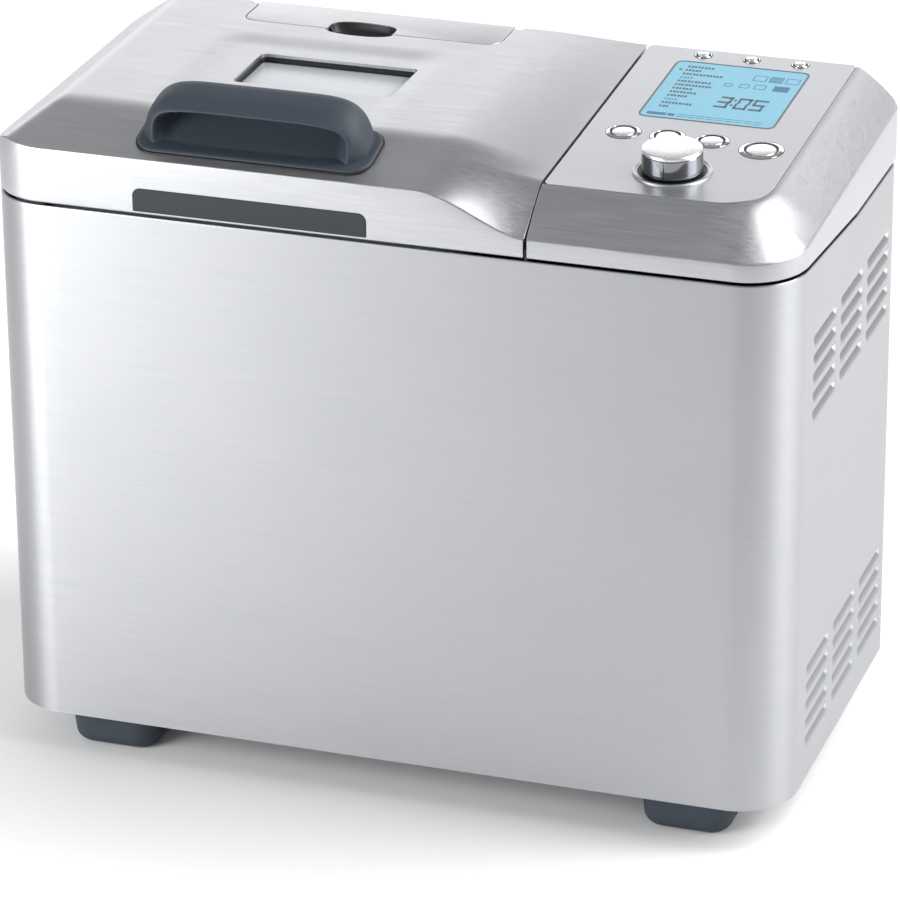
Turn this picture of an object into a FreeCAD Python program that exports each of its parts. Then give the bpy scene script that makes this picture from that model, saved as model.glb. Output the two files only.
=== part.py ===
import FreeCAD, Part
import math
import os
from types import SimpleNamespace

import Sketcher

# Bread machine, free standing. Millimetres, +Z up, front towards -Y, origin on the table under the
# middle of the machine. A steel wrap stands on four feet and holds an oven cavity on its left and
# the drive and electronics on its right. A hinged lid covers the cavity, a fixed control housing
# the electronics. Depths are counted from the front face, heights from the table.

SIZES = [
    ("machine_width", 413.0, "width over the steel wrap"),
    ("wrap_depth", 205.0, "depth of the steel wrap"),
    ("rear_cover_depth", 41.0, "how far the rear cover stands out behind the wrap"),
    ("foot_height", 22.0, "table to the lower edge of the wrap"),
    ("wrap_height", 279.2, "height of the wrap at the front"),
    ("lid_rise", 41.8, "front seam to the crown of the lid"),
    ("seam_drop", 7.6, "how much lower the wrap is cut towards the rear"),
    ("seam_drop_start", 25.0, "depth where the side seam starts to fall"),
    ("seam_drop_end", 125.0, "depth where the side seam levels out"),
    ("wrap_sheet", 1.0, "steel thickness of the wrap"),
    ("front_corner", 30.0, "plan radius of the two front corners"),
    ("rear_corner", 6.0, "plan radius of the two rear corners"),
    ("rear_flange", 15.0, "return flange of the wrap at the rear"),
    ("seam_gap", 1.5, "shadow gap between the wrap and what sits over it"),
    ("cover_overhang", 3.5, "how far lid and control housing reach behind the wrap"),
    ("shell_wall", 2.5, "wall of the lid and of the control housing"),
    ("control_width", 132.0, "middle of the lid gap to the right side face"),
    ("lid_gap", 2.0, "gap between lid and control housing"),
    ("lid_front_band", 30.0, "upright front band of the lid"),
    ("lid_slope_depth", 44.0, "front face to the front edge of the flat crown"),
    ("lid_side_slope_width", 24.5, "plan width of the lid's left slope"),
    ("lid_side_slope_drop", 17.0, "height of the lid's left slope"),
    ("lid_valley_width", 54.0, "plan width of the valley where the lid falls to the control housing"),
    ("control_front_band", 10.5, "upright front band of the control housing"),
    ("fascia_inset", 27.0, "front face to the front edge of the fascia"),
    ("fascia_rise", 30.3, "front seam to the front edge of the fascia"),
    ("fascia_tilt", 3.0, "slope of the fascia in degrees"),
    ("fascia_sheet", 1.2, "fascia thickness"),
    ("fascia_corner", 25.0, "radius of the fascia's front right corner"),
    ("fascia_small_corner", 3.0, "radius of the fascia's other corners"),
    ("control_slope_width", 23.0, "plan width of the control housing's right slope"),
    ("control_slope_drop", 18.4, "height of the control housing's right slope"),
    ("skirt_wall", 2.0, "wall of the control housing's locating skirt"),
    ("skirt_inset", 2.0, "side face to the outside of the locating skirt"),
    ("skirt_engagement", 3.0, "how far the skirt overlaps the housing wall in height"),
    ("louvre_length", 45.0, "length of one louvre"),
    ("louvre_height", 3.0, "height of one louvre's air gap"),
    ("louvre_pitch", 9.8, "row pitch of the louvres"),
    ("louvre_column_pitch", 52.5, "column pitch of the louvres"),
    ("louvre_columns", 3, "number of louvre columns"),
    ("louvre_rows", 5, "number of louvres in one column of a group"),
    ("louvre_first_depth", 43.0, "front face to the first louvre column"),
    ("louvre_upper_height", 218.5, "table to the lowest row of the upper louvres"),
    ("louvre_lower_height", 42.0, "table to the lowest row of the lower louvres"),
    ("tray_sheet", 2.0, "base tray thickness"),
    ("foot_top", 49.0, "width of a foot where it meets the wrap"),
    ("foot_depth", 42.0, "depth of a foot where it meets the wrap"),
    ("foot_taper", 20.0, "draft of a foot in degrees"),
    ("foot_corner", 7.0, "upright corner radius of a foot"),
    ("foot_side_inset", 28.8, "side face to a foot"),
    ("foot_front_inset", 9.0, "front face to a front foot"),
    ("foot_rear_inset", 150.0, "front face to a rear foot"),
    ("rear_cover_side_inset", 16.0, "side face to the rear cover"),
    ("rear_cover_low", 40.0, "table to the rear cover"),
    ("rear_cover_height", 250.0, "height of the rear cover"),
    ("rear_cover_wall", 2.5, "wall of the rear cover"),
    ("rear_cover_corner", 10.0, "corner radius of the rear cover"),
    ("vent_length", 70.0, "length of a rear vent slot"),
    ("vent_height", 4.0, "height of a rear vent slot"),
    ("vent_pitch", 10.0, "pitch of the rear vent slots"),
    ("vent_low", 130.0, "table to the lowest rear vent slot"),
    ("vent_offset", 95.0, "middle of a rear vent column from the middle of the machine"),
    ("vent_rows", 13, "number of slots in a rear vent column"),
    ("inlet_across", 150.0, "power inlet from the middle of the machine"),
    ("inlet_up", 80.0, "power inlet above the table"),
    ("inlet_width", 27.0, "width of the inlet body"),
    ("inlet_height", 19.5, "height of the inlet body"),
    ("inlet_length", 24.0, "depth of the inlet body"),
    ("inlet_flange", 2.0, "thickness of the inlet flange"),
    ("inlet_lip", 6.0, "width of the inlet flange round the body"),
    ("inlet_wall", 2.0, "wall of the inlet body"),
    ("inlet_socket_depth", 16.0, "depth of the inlet socket"),
    ("inlet_pin_width", 4.0, "height of an inlet pin"),
    ("inlet_pin_sheet", 2.0, "thickness of an inlet pin"),
    ("inlet_pin_pitch", 7.0, "across pitch of the inlet pins"),
    ("inlet_pin_sink", 1.5, "middle of the inlet down to the outer pins"),
    ("inlet_pin_rise", 1.5, "middle of the inlet up to the middle pin"),
    ("inlet_pin_length", 13.0, "free length of an inlet pin"),
    ("deck_sheet", 3.0, "thickness of the top deck"),
    ("deck_depression", 2.6, "rear seam down to the top of the deck"),
    ("cavity_width", 225.0, "outside width of the oven cavity"),
    ("cavity_depth", 175.0, "outside depth of the oven cavity"),
    ("cavity_sheet", 1.2, "steel of the oven cavity"),
    ("cavity_corner", 25.0, "upright corner radius of the oven cavity"),
    ("cavity_flange", 9.0, "flange of the cavity on the deck"),
    ("cavity_floor_height", 66.0, "table to the underside of the cavity"),
    ("cavity_middle", 102.5, "front face to the middle of the cavity"),
    ("cavity_across", 66.0, "how far the cavity's middle lies left of the machine's"),
    ("shield_across", 58.0, "heat shield from the middle of the machine"),
    ("shield_sheet", 1.0, "heat shield thickness"),
    ("belt_window_depth", 90.0, "width of the belt's window in the heat shield"),
    ("belt_window_height", 34.0, "height of the belt's window in the heat shield"),
    ("element_tube", 6.5, "heating element tube diameter"),
    ("element_wall_gap", 6.0, "cavity wall to the heating element"),
    ("element_height", 93.0, "table to the middle of the heating element"),
    ("element_bend", 20.0, "bend radius of the heating element"),
    ("element_terminal_pitch", 30.0, "distance between the element's two ends"),
    ("element_terminal_reach", 10.0, "how far the ends stand out behind the cavity"),
    ("probe_radius", 3.0, "temperature probe radius"),
    ("probe_length", 22.0, "temperature probe length"),
    ("probe_height", 140.0, "table to the temperature probe"),
    ("probe_across", 70.0, "probe from the middle of the cavity"),
    ("pan_width", 180.0, "bread pan width at the rim"),
    ("pan_depth", 130.0, "bread pan depth at the rim"),
    ("pan_height", 128.0, "bread pan height"),
    ("pan_floor_height", 88.0, "table to the underside of the pan"),
    ("pan_taper", 3.2, "draft of the pan in degrees"),
    ("pan_corner", 24.0, "upright corner radius of the pan"),
    ("pan_wall", 1.6, "pan wall thickness"),
    ("pan_rim_lip", 3.0, "width of the pan's rolled rim"),
    ("pan_rim_height", 3.0, "height of the pan's rolled rim"),
    ("pan_foot_radius", 30.0, "radius of the pan's locking foot"),
    ("pan_foot_wall", 3.0, "wall of the pan's locking foot"),
    ("pan_seat_gap", 0.3, "pan's locking foot off the cavity floor"),
    ("pan_foot_clearance", 1.0, "play between the locking foot and its mount"),
    ("lock_wall", 3.0, "wall of the pan mount"),
    ("lock_height", 14.0, "height of the pan mount above the cavity floor"),
    ("lock_lug_width", 14.0, "width of a locking lug"),
    ("bail_rod", 4.0, "diameter of the pan's carrying handle"),
    ("bail_reach", 60.0, "pivot to the far side of the carrying handle"),
    ("bail_bend", 14.0, "bend radius of the carrying handle"),
    ("bail_drop", 12.0, "pan rim down to the carrying handle's pivots"),
    ("bail_side_gap", 2.0, "play between pan rim and carrying handle"),
    ("bail_fold", 15.0, "angle of the folded carrying handle above level"),
    ("shaft_radius", 4.0, "radius of drive shaft, pan shaft and motor shaft"),
    ("running_play", 0.05, "radial running play of every shaft and pin"),
    ("bearing_radius", 11.0, "outside radius of the drive bearing"),
    ("bearing_flange_radius", 26.0, "radius of the bearing's flange"),
    ("bearing_flange_sheet", 3.0, "thickness of the bearing's flange"),
    ("bearing_length", 14.0, "bearing below the cavity"),
    ("bearing_neck", 6.0, "bearing above the cavity floor"),
    ("drive_shaft_low", 30.0, "table to the lower end of the drive shaft"),
    ("coupler_radius", 12.0, "radius of the two coupler halves"),
    ("coupler_plate", 4.0, "thickness of a coupler's plate"),
    ("coupler_dog", 5.0, "height of the coupler dogs"),
    ("coupler_dog_width", 5.0, "width of a coupler dog"),
    ("coupler_gap", 0.5, "play between the two coupler halves"),
    ("pulley_low", 36.0, "table to the underside of both pulleys"),
    ("pulley_width", 12.0, "width of both pulleys"),
    ("large_pulley_radius", 55.0, "running radius of the driven pulley"),
    ("small_pulley_radius", 12.0, "running radius of the motor pulley"),
    ("pulley_lip", 2.0, "height and width of a pulley's lips"),
    ("pulley_hub_radius", 14.0, "hub of the driven pulley"),
    ("belt_thickness", 2.0, "belt thickness"),
    ("belt_play", 0.1, "belt off the pulleys' running surfaces"),
    ("motor_across", 138.0, "motor from the middle of the machine"),
    ("motor_radius", 31.0, "motor can radius"),
    ("motor_length", 92.0, "motor can length"),
    ("bracket_sheet", 3.0, "motor bracket thickness"),
    ("bracket_height", 66.0, "table to the top of the motor bracket"),
    ("bracket_reach", 40.0, "half of the motor bracket's side"),
    ("post_radius", 4.0, "radius of posts and standoffs"),
    ("bush_radius", 10.0, "radius of the pan's shaft bush"),
    ("bush_height", 8.0, "height of the pan's shaft bush inside the pan"),
    ("pan_shaft_top", 38.0, "pan shaft above the pan floor"),
    ("hub_radius", 9.0, "kneading paddle hub radius"),
    ("hub_height", 24.0, "kneading paddle hub height"),
    ("blade_length", 40.0, "kneading blade length from its pin"),
    ("blade_height", 22.0, "kneading blade height"),
    ("blade_sheet", 3.0, "kneading blade thickness"),
    ("blade_pin_radius", 1.5, "kneading blade pin radius"),
    ("blade_gap", 0.6, "play round the kneading blade's knuckle"),
    ("impeller_radius", 28.0, "convection impeller radius"),
    ("impeller_depth", 8.0, "convection impeller depth"),
    ("impeller_gap", 2.5, "cavity wall to impeller"),
    ("impeller_height", 190.0, "table to the middle of the convection fan"),
    ("fan_motor_radius", 20.0, "convection motor radius"),
    ("fan_motor_length", 22.0, "convection motor length"),
    ("fan_hole_radius", 3.0, "radius of the cavity's air holes"),
    ("fan_hole_ring", 18.0, "radius of the ring of air holes"),
    ("hinge_across", 104.0, "hinge from the middle of the lid"),
    ("hinge_inset", 203.0, "front face to the lid's hinge axis"),
    ("hinge_up", 8.8, "front seam up to the lid's hinge axis"),
    ("hinge_pin_radius", 2.0, "lid hinge pin radius"),
    ("hinge_ear", 6.0, "thickness of a hinge ear"),
    ("hinge_cheek", 4.0, "thickness of a hinge cheek in the lid"),
    ("hinge_eye", 3.0, "material round a hinge bore"),
    ("hinge_play", 1.0, "side play of a hinge ear"),
    ("liner_sheet", 1.5, "lid liner thickness"),
    ("liner_rise", 2.3, "front seam up to the liner's underside"),
    ("collar_wall", 1.5, "wall of the liner's collar"),
    ("collar_drop", 7.0, "depth of the liner's collar"),
    ("seal_width", 6.0, "lid seal width"),
    ("seal_gap", 0.3, "closed lid seal off the cavity flange"),
    ("window_across", 83.0, "viewing window opening width"),
    ("window_along", 43.0, "viewing window opening depth"),
    ("window_inset", 91.0, "front face to the viewing window"),
    ("window_corner", 3.0, "viewing window corner radius"),
    ("window_glass", 3.0, "viewing window glass thickness"),
    ("window_sink", 6.0, "crown down to the glass"),
    ("gasket_wall", 1.8, "window gasket wall"),
    ("flap_width", 138.6, "dispenser flap width"),
    ("flap_depth", 30.5, "dispenser flap depth"),
    ("flap_inset", 178.0, "front face to the dispenser flap"),
    ("flap_sheet", 1.6, "dispenser flap thickness"),
    ("flap_corner", 8.0, "dispenser flap's front corner radius"),
    ("flap_gap", 0.5, "gap round the dispenser flap"),
    ("flap_seat", 0.3, "dispenser flap off the lid under it"),
    ("flap_barrel_radius", 1.6, "dispenser flap hinge barrel radius"),
    ("scoop_width", 34.0, "finger scoop width"),
    ("scoop_depth", 22.0, "finger scoop depth"),
    ("scoop_sink", 9.0, "finger scoop depth below the crown"),
    ("bin_inset", 148.0, "front face to the dispenser bin"),
    ("bin_depth", 48.0, "dispenser bin depth"),
    ("bin_width", 126.0, "dispenser bin width"),
    ("bin_wall", 1.5, "dispenser bin wall"),
    ("trap_width", 90.0, "dispenser trapdoor width"),
    ("trap_depth", 21.0, "dispenser trapdoor depth"),
    ("trap_gap", 0.5, "gap round the trapdoor"),
    ("trap_barrel_radius", 1.5, "trapdoor hinge barrel radius"),
    ("trap_lug", 3.0, "width of the liner's trapdoor lugs"),
    ("solenoid_side", 24.0, "dispenser solenoid side"),
    ("solenoid_height", 20.0, "dispenser solenoid height"),
    ("handle_width", 122.0, "lid handle base width"),
    ("handle_foot_inset", 6.0, "front face to the handle base"),
    ("handle_base", 2.0, "handle base thickness"),
    ("handle_leg", 14.0, "thickness of the handle's two legs"),
    ("handle_side_inset", 7.0, "handle base end to the grip"),
    ("handle_top", 61.8, "front seam to the top of the grip"),
    ("hood_wall", 5.0, "thickness of the handle's hood"),
    ("hood_nose", 1.0, "front face to the front edge of the hood"),
    ("hood_nose_drop", 10.5, "top of the grip down to the middle of the hood's nose"),
    ("hood_brow_drop", 4.2, "top of the grip down to the upper edge of the hood's nose"),
    ("hood_back_drop", 4.9, "top of the grip down to the hood's rear shoulder"),
    ("hood_back_inset", 6.3, "rear of the handle to the hood's rear shoulder"),
    ("inlay_width", 121.0, "front inlay width"),
    ("inlay_height", 13.5, "front inlay height"),
    ("inlay_sheet", 1.2, "front inlay thickness"),
    ("inlay_corner", 4.0, "front inlay's upper corner radius"),
    ("lcd_width", 69.0, "display window width"),
    ("lcd_depth", 73.0, "display window depth"),
    ("lcd_left", 111.5, "right side face to the display window's left edge"),
    ("lcd_inset", 92.0, "fascia's front edge to the display window"),
    ("lcd_corner", 4.0, "display window corner radius"),
    ("lcd_ledge", 2.0, "ledge under the display window"),
    ("lcd_module_depth", 5.0, "display module thickness"),
    ("button_radius", 5.6, "front button radius"),
    ("button_ring", 7.7, "front button ring radius"),
    ("start_radius", 7.4, "start button radius"),
    ("start_ring", 10.0, "start button ring radius"),
    ("small_radius", 2.7, "rear button radius"),
    ("small_ring", 4.2, "rear button ring radius"),
    ("ring_height", 1.0, "button ring above the fascia"),
    ("ring_spigot", 0.9, "button ring wall inside the fascia"),
    ("button_gap", 0.25, "gap round a button"),
    ("button_proud", 1.9, "button above the fascia"),
    ("button_travel", 1.0, "button travel"),
    ("button_stem", 1.6, "button stem radius"),
    ("button_row_inset", 70.0, "fascia's front edge to the front button row"),
    ("button_row_left", 112.1, "right side face to the first front button"),
    ("button_row_pitch", 22.5, "front button pitch"),
    ("start_across", 40.9, "right side face to the start button"),
    ("start_inset", 65.5, "fascia's front edge to the start button"),
    ("small_row_inset", 174.5, "fascia's front edge to the rear button row"),
    ("small_row_left", 101.0, "right side face to the first rear button"),
    ("small_row_pitch", 25.3, "rear button pitch"),
    ("dial_across", 75.5, "right side face to the dial"),
    ("dial_inset", 30.0, "fascia's front edge to the dial"),
    ("dial_ring_radius", 19.5, "dial ring radius"),
    ("dial_ring_height", 1.8, "dial ring height"),
    ("dial_radius", 15.0, "dial knob radius"),
    ("dial_height", 11.3, "dial knob height above its ring"),
    ("dial_shaft_radius", 3.0, "dial shaft radius"),
    ("dial_gap", 0.4, "dial knob off its ring"),
    ("board_sheet", 1.6, "circuit board thickness"),
    ("board_sink", 17.0, "fascia down to the control board"),
    ("board_width", 92.0, "control board width"),
    ("board_left", 118.5, "right side face to the control board's left edge"),
    ("board_depth", 160.0, "control board depth"),
    ("board_inset", 14.0, "fascia's front edge to the control board"),
    ("switch_side", 6.0, "push switch side"),
    ("switch_height", 4.0, "push switch height"),
    ("encoder_side", 13.0, "dial encoder side"),
    ("encoder_height", 7.0, "dial encoder height"),
    ("power_board_low", 180.0, "table to the power board"),
    ("power_board_height", 90.0, "power board height"),
    ("power_board_depth", 120.0, "power board depth"),
    ("power_board_inset", 42.0, "front face to the power board"),
    ("standoff", 7.0, "standoff length"),
    ("transformer_side", 30.0, "side of the power board's transformer"),
    ("relay_side", 15.0, "height of the power board's relay"),
    ("relay_length", 24.0, "length of the power board's relay"),
    ("relay_offset", 45.0, "transformer's front to the relay's front"),
    ("capacitor_radius", 6.0, "radius of the power board's capacitors"),
    ("capacitor_height", 15.0, "height of the power board's capacitors"),
    ("capacitor_pitch", 30.0, "pitch of the power board's capacitors"),
    ("screw_head", 3.2, "cover screw head radius"),
    ("screw_head_height", 1.8, "cover screw head height"),
    ("screw_shank", 1.6, "cover screw shank radius"),
    ("screw_length", 9.0, "cover screw length"),
    ("screw_inset", 10.0, "rear cover edge to its screws"),
]

document = FreeCAD.newDocument("bread_machine")
sheet = document.addObject("Spreadsheet::Sheet", "Sizes")
for row, (alias, number, note) in enumerate(SIZES, start=1):
    sheet.set("A%d" % row, alias)
    sheet.set("B%d" % row, str(number))
    sheet.setAlias("B%d" % row, alias)
    sheet.set("C%d" % row, note)
document.recompute()


class Length:
    """A number of the design together with the sheet formula it comes from."""

    def __init__(self, value, formula):
        self.value = value
        self.formula = formula

    def __add__(self, other):
        other = as_length(other)
        return Length(self.value + other.value, "(%s + %s)" % (self.formula, other.formula))

    def __sub__(self, other):
        other = as_length(other)
        return Length(self.value - other.value, "(%s - %s)" % (self.formula, other.formula))

    def __mul__(self, other):
        other = as_length(other)
        return Length(self.value * other.value, "(%s * %s)" % (self.formula, other.formula))

    def __truediv__(self, other):
        other = as_length(other)
        return Length(self.value / other.value, "(%s / %s)" % (self.formula, other.formula))

    def __neg__(self):
        return Length(-self.value, "(0 - %s)" % self.formula)

    def __radd__(self, other):
        return as_length(other) + self

    def __rsub__(self, other):
        return as_length(other) - self

    def __rmul__(self, other):
        return as_length(other) * self


def as_length(number):
    if isinstance(number, Length):
        return number
    if number < 0:
        return Length(number, "(0 - %r)" % -number)
    return Length(number, "%r" % number)


def sine(angle):
    return Length(math.sin(math.radians(angle.value)), "sin(%s * 1 deg)" % angle.formula)


def cosine(angle):
    return Length(math.cos(math.radians(angle.value)), "cos(%s * 1 deg)" % angle.formula)


def tangent(angle):
    return Length(math.tan(math.radians(angle.value)), "tan(%s * 1 deg)" % angle.formula)


S = SimpleNamespace(**{alias: Length(number, "Sizes.%s" % alias) for alias, number, note in SIZES})
NODES = []

X_AXIS = FreeCAD.Vector(1, 0, 0)
Y_AXIS = FreeCAD.Vector(0, 1, 0)
Z_AXIS = FreeCAD.Vector(0, 0, 1)
UPRIGHT = FreeCAD.Rotation()
TILTED = FreeCAD.Rotation(X_AXIS, S.fascia_tilt.value)
ALONG_X = FreeCAD.Rotation(Y_AXIS, 90)
ALONG_Y = FreeCAD.Rotation(X_AXIS, -90)
STANDING = FreeCAD.Rotation(X_AXIS, 90)
MARGIN = 5.0

# ---------------------------------------------------------------- building tools


def read(length):
    """The length as the sheet works it out now."""
    return sheet.evalExpression(length.formula)


def bind(target, prop, length):
    target.setExpression(prop, as_length(length).formula)


def place(target, x, y, z, rotation=UPRIGHT):
    spot = [as_length(x), as_length(y), as_length(z)]
    target.Placement = FreeCAD.Placement(FreeCAD.Vector(*[length.value for length in spot]), rotation)
    for axis, length in zip("xyz", spot):
        bind(target, ".Placement.Base.%s" % axis, length)
    if rotation is TILTED:
        target.setExpression(".Placement.Rotation.Angle", S.fascia_tilt.formula)
    return target


def named(kind, label):
    thing = document.addObject(kind, label)
    thing.Label = label
    return thing


def node(thing):
    NODES.append(thing)
    return thing


def block(label, x, y, z, rotation=UPRIGHT, at=None):
    """A plain box between the pairs x, y and z, or of those spans set at a tilted point."""
    box = named("Part::Box", label)
    bind(box, "Length", x[1] - x[0])
    bind(box, "Width", y[1] - y[0])
    bind(box, "Height", z[1] - z[0])
    corner = at or (x[0], y[0], z[0])
    return place(box, *corner, rotation)


def rod(label, radius, length, x, y, z, rotation=UPRIGHT):
    cylinder = named("Part::Cylinder", label)
    bind(cylinder, "Radius", radius)
    bind(cylinder, "Height", length)
    return place(cylinder, x, y, z, rotation)


def cut(label, base, *tools):
    result = named("Part::Cut", label)
    result.Base = base
    result.Tool = tools[0] if len(tools) == 1 else group(label + "_tools", *tools)
    return result


def group(label, *pieces):
    result = named("Part::Compound", label)
    result.Links = list(pieces)
    return result


def join(label, *pieces):
    result = named("Part::MultiFuse", label)
    result.Shapes = list(pieces)
    return result


def overlap(label, *pieces):
    result = named("Part::MultiCommon", label)
    result.Shapes = list(pieces)
    return result


def upright_edges(shape, wanted):
    """Names of the edges that climb from floor to ceiling and whose middle passes the test."""
    height = shape.BoundBox.ZLength
    names = []
    for number, edge in enumerate(shape.Edges, start=1):
        middle = edge.BoundBox.Center
        if edge.BoundBox.ZLength > 0.99 * height and wanted(middle):
            names.append("Edge%d" % number)
    return names


def round_corners(body, base, radii):
    """Rounds the four upright edges, radii in the order front left, front right, rear right, rear left."""
    centre = base.Shape.BoundBox.Center
    places = [(-1, -1), (1, -1), (1, 1), (-1, 1)]
    for formula in sorted({radius.formula for radius in radii if radius}):
        sides = [spot for spot, radius in zip(places, radii) if radius and radius.formula == formula]
        tip = body.Tip

        def wanted(point):
            return (math.copysign(1, point.x - centre.x), math.copysign(1, point.y - centre.y)) in sides

        fillet = body.newObject("PartDesign::Fillet", body.Label + "_round")
        fillet.Base = (tip, upright_edges(tip.Shape, wanted))
        fillet.setExpression("Radius", formula)
        body.Tip = fillet
        document.recompute()


def rounded_block(label, x, y, z, radius, rotation=UPRIGHT, at=None):
    """A box with rounded upright edges: one radius, or one for each corner (None stays sharp)."""
    body = named("PartDesign::Body", label)
    box = body.newObject("PartDesign::AdditiveBox", label + "_box")
    bind(box, "Length", x[1] - x[0])
    bind(box, "Width", y[1] - y[0])
    bind(box, "Height", z[1] - z[0])
    document.recompute()
    round_corners(body, box, radius if isinstance(radius, tuple) else (radius,) * 4)
    corner = at or (x[0], y[0], z[0])
    return place(body, *corner, rotation)


def standing_plate(label, x, back, thick, z, radius):
    """An upright plate across the machine, upper corners rounded, its rear face at back."""
    low = as_length(0.0)
    return rounded_block(label, (low, x[1] - x[0]), (low, z[1] - z[0]), (low, thick),
                         (None, None, radius, radius), STANDING, (x[0], back, z[0]))


def outline(body, name, role, corners, offset=None):
    """A closed sketch of straight lines whose corners are tied to the sheet."""
    sketch = body.newObject("Sketcher::SketchObject", name)
    plane = [feature for feature in body.Origin.OriginFeatures if feature.Role == role][0]
    sketch.AttachmentSupport = (plane, [""])
    sketch.MapMode = "FlatFace"
    if offset is not None:
        bind(sketch, ".AttachmentOffset.Base.z", offset)
    points = [(as_length(across), as_length(up)) for across, up in corners]
    vectors = [FreeCAD.Vector(across.value, up.value, 0) for across, up in points]
    count = len(points)
    lines = [Part.LineSegment(vectors[i], vectors[(i + 1) % count]) for i in range(count)]
    sketch.addGeometry(lines, False)
    for i in range(count):
        sketch.addConstraint(Sketcher.Constraint("Coincident", i, 2, (i + 1) % count, 1))
    for i, (across, up) in enumerate(points):
        for kind, length in (("DistanceX", across), ("DistanceY", up)):
            number = sketch.addConstraint(Sketcher.Constraint(kind, -1, 1, i, 1, length.value))
            sketch.setExpression("Constraints[%d]" % number, length.formula)
    return sketch


def padded(label, role, corners, length, reverse):
    body = named("PartDesign::Body", label)
    sketch = outline(body, label + "_outline", role, corners)
    pad = body.newObject("PartDesign::Pad", label + "_pad")
    pad.Profile = sketch
    bind(pad, "Length", length)
    pad.Reversed = reverse
    body.Tip = pad
    return body


def prism_x(label, corners, x):
    """Corners (y, z) carried along X between the pair x."""
    return place(padded(label, "YZ_Plane", corners, x[1] - x[0], False), x[0], 0, 0)


def prism_y(label, corners, y):
    """Corners (x, z) carried along Y between the pair y."""
    return place(padded(label, "XZ_Plane", corners, y[1] - y[0], True), 0, y[0], 0)


def ruled(label, role, first, second, distance, offset):
    """Straight-sided solid between two outlines that lie a distance apart."""
    body = named("PartDesign::Body", label)
    near = outline(body, label + "_near", role, first)
    far = outline(body, label + "_far", role, second, offset)
    loft = body.newObject("PartDesign::AdditiveLoft", label + "_loft")
    loft.Profile = near
    loft.Sections = [far]
    loft.Ruled = True
    body.Tip = loft
    return body


def ruled_x(label, first, second, x):
    return place(ruled(label, "YZ_Plane", first, second, x[1] - x[0], x[1] - x[0]), x[0], 0, 0)


def ruled_y(label, first, second, y):
    return place(ruled(label, "XZ_Plane", first, second, y[1] - y[0], -(y[1] - y[0])), 0, y[0], 0)


def turned(label, corners, x, y, z, rotation=UPRIGHT):
    """Corners (radius, height) turned about the axis that rises from the point."""
    body = named("PartDesign::Body", label)
    sketch = outline(body, label + "_outline", "XZ_Plane", corners)
    turn = body.newObject("PartDesign::Revolution", label + "_turn")
    turn.Profile = sketch
    turn.ReferenceAxis = (sketch, ["V_Axis"])
    turn.Angle = 360
    body.Tip = turn
    return place(body, x, y, z, rotation)


def drafted_block(label, x, y, z, draft, radius):
    """A block on the rectangle x, y that widens upwards by the draft angle, corners rounded."""
    body = named("PartDesign::Body", label)
    corners = [(0, 0), (x[1] - x[0], 0), (x[1] - x[0], y[1] - y[0]), (0, y[1] - y[0])]
    sketch = outline(body, label + "_outline", "XY_Plane", corners)
    pad = body.newObject("PartDesign::Pad", label + "_pad")
    pad.Profile = sketch
    bind(pad, "Length", z[1] - z[0])
    bind(pad, "TaperAngle", draft)
    body.Tip = pad
    document.recompute()
    round_corners(body, pad, (radius,) * 4)
    return place(body, x[0], y[0], z[0])


def elbow(label, bend, tube, x, y, z, rotation):
    """A quarter of a torus from local +X to local +Y."""
    torus = named("Part::Torus", label)
    bind(torus, "Radius1", bend)
    bind(torus, "Radius2", tube)
    torus.Angle3 = 90
    return place(torus, x, y, z, rotation)


# ---------------------------------------------------------------- shared places

front_face = -(S.wrap_depth + S.rear_cover_depth + S.inlet_flange) / 2
side_face = S.machine_width / 2
wrap_back = front_face + S.wrap_depth
cover_back = wrap_back + S.cover_overhang
seam_top = S.foot_height + S.wrap_height
seam_rear = seam_top - S.seam_drop
crown = seam_top + S.lid_rise
gap_middle = side_face - S.control_width
lid_right = gap_middle - S.lid_gap / 2
control_left = gap_middle + S.lid_gap / 2
lid_middle = -S.cavity_across
cavity_y = front_face + S.cavity_middle
deck_top = seam_rear - S.deck_depression
tray_top = S.foot_height + S.tray_sheet
drop_start = front_face + S.seam_drop_start
drop_end = front_face + S.seam_drop_end
fascia_front = front_face + S.fascia_inset
fascia_low = seam_top + S.fascia_rise
fascia_right = side_face - S.control_slope_width
dial_x = side_face - S.dial_across
board_x = side_face - S.board_left
fascia_length = (cover_back - fascia_front) / cosine(S.fascia_tilt)
fascia_high = fascia_low + (cover_back - fascia_front) * tangent(S.fascia_tilt)
cavity_x = (lid_middle - S.cavity_width / 2, lid_middle + S.cavity_width / 2)
cavity_span = (cavity_y - S.cavity_depth / 2, cavity_y + S.cavity_depth / 2)
cavity_floor = S.cavity_floor_height + S.cavity_sheet
flange_top = deck_top + S.cavity_sheet
liner_low = seam_top + S.liner_rise
liner_high = liner_low + S.liner_sheet
hinge_y = front_face + S.hinge_inset
hinge_z = seam_top + S.hinge_up


def on_fascia(across, along, above):
    """Point over the fascia: across the machine, up its slope from its front edge, and off its face."""
    y = fascia_front + along * cosine(S.fascia_tilt) - above * sine(S.fascia_tilt)
    z = fascia_low + along * sine(S.fascia_tilt) + above * cosine(S.fascia_tilt)
    return (as_length(across), y, z)


def about(middle, width):
    return (middle - width / 2, middle + width / 2)


# ---------------------------------------------------------------- wrap, base and rear


def plan_ring(label, inset, low, high):
    """Solid of the machine's plan outline, drawn in by the inset."""
    radii = (S.front_corner - inset, S.front_corner - inset, S.rear_corner - inset, S.rear_corner - inset)
    x = (inset - side_face, side_face - inset)
    y = (front_face + inset, wrap_back - inset)
    return rounded_block(label, x, y, (low, high), radii)


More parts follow.
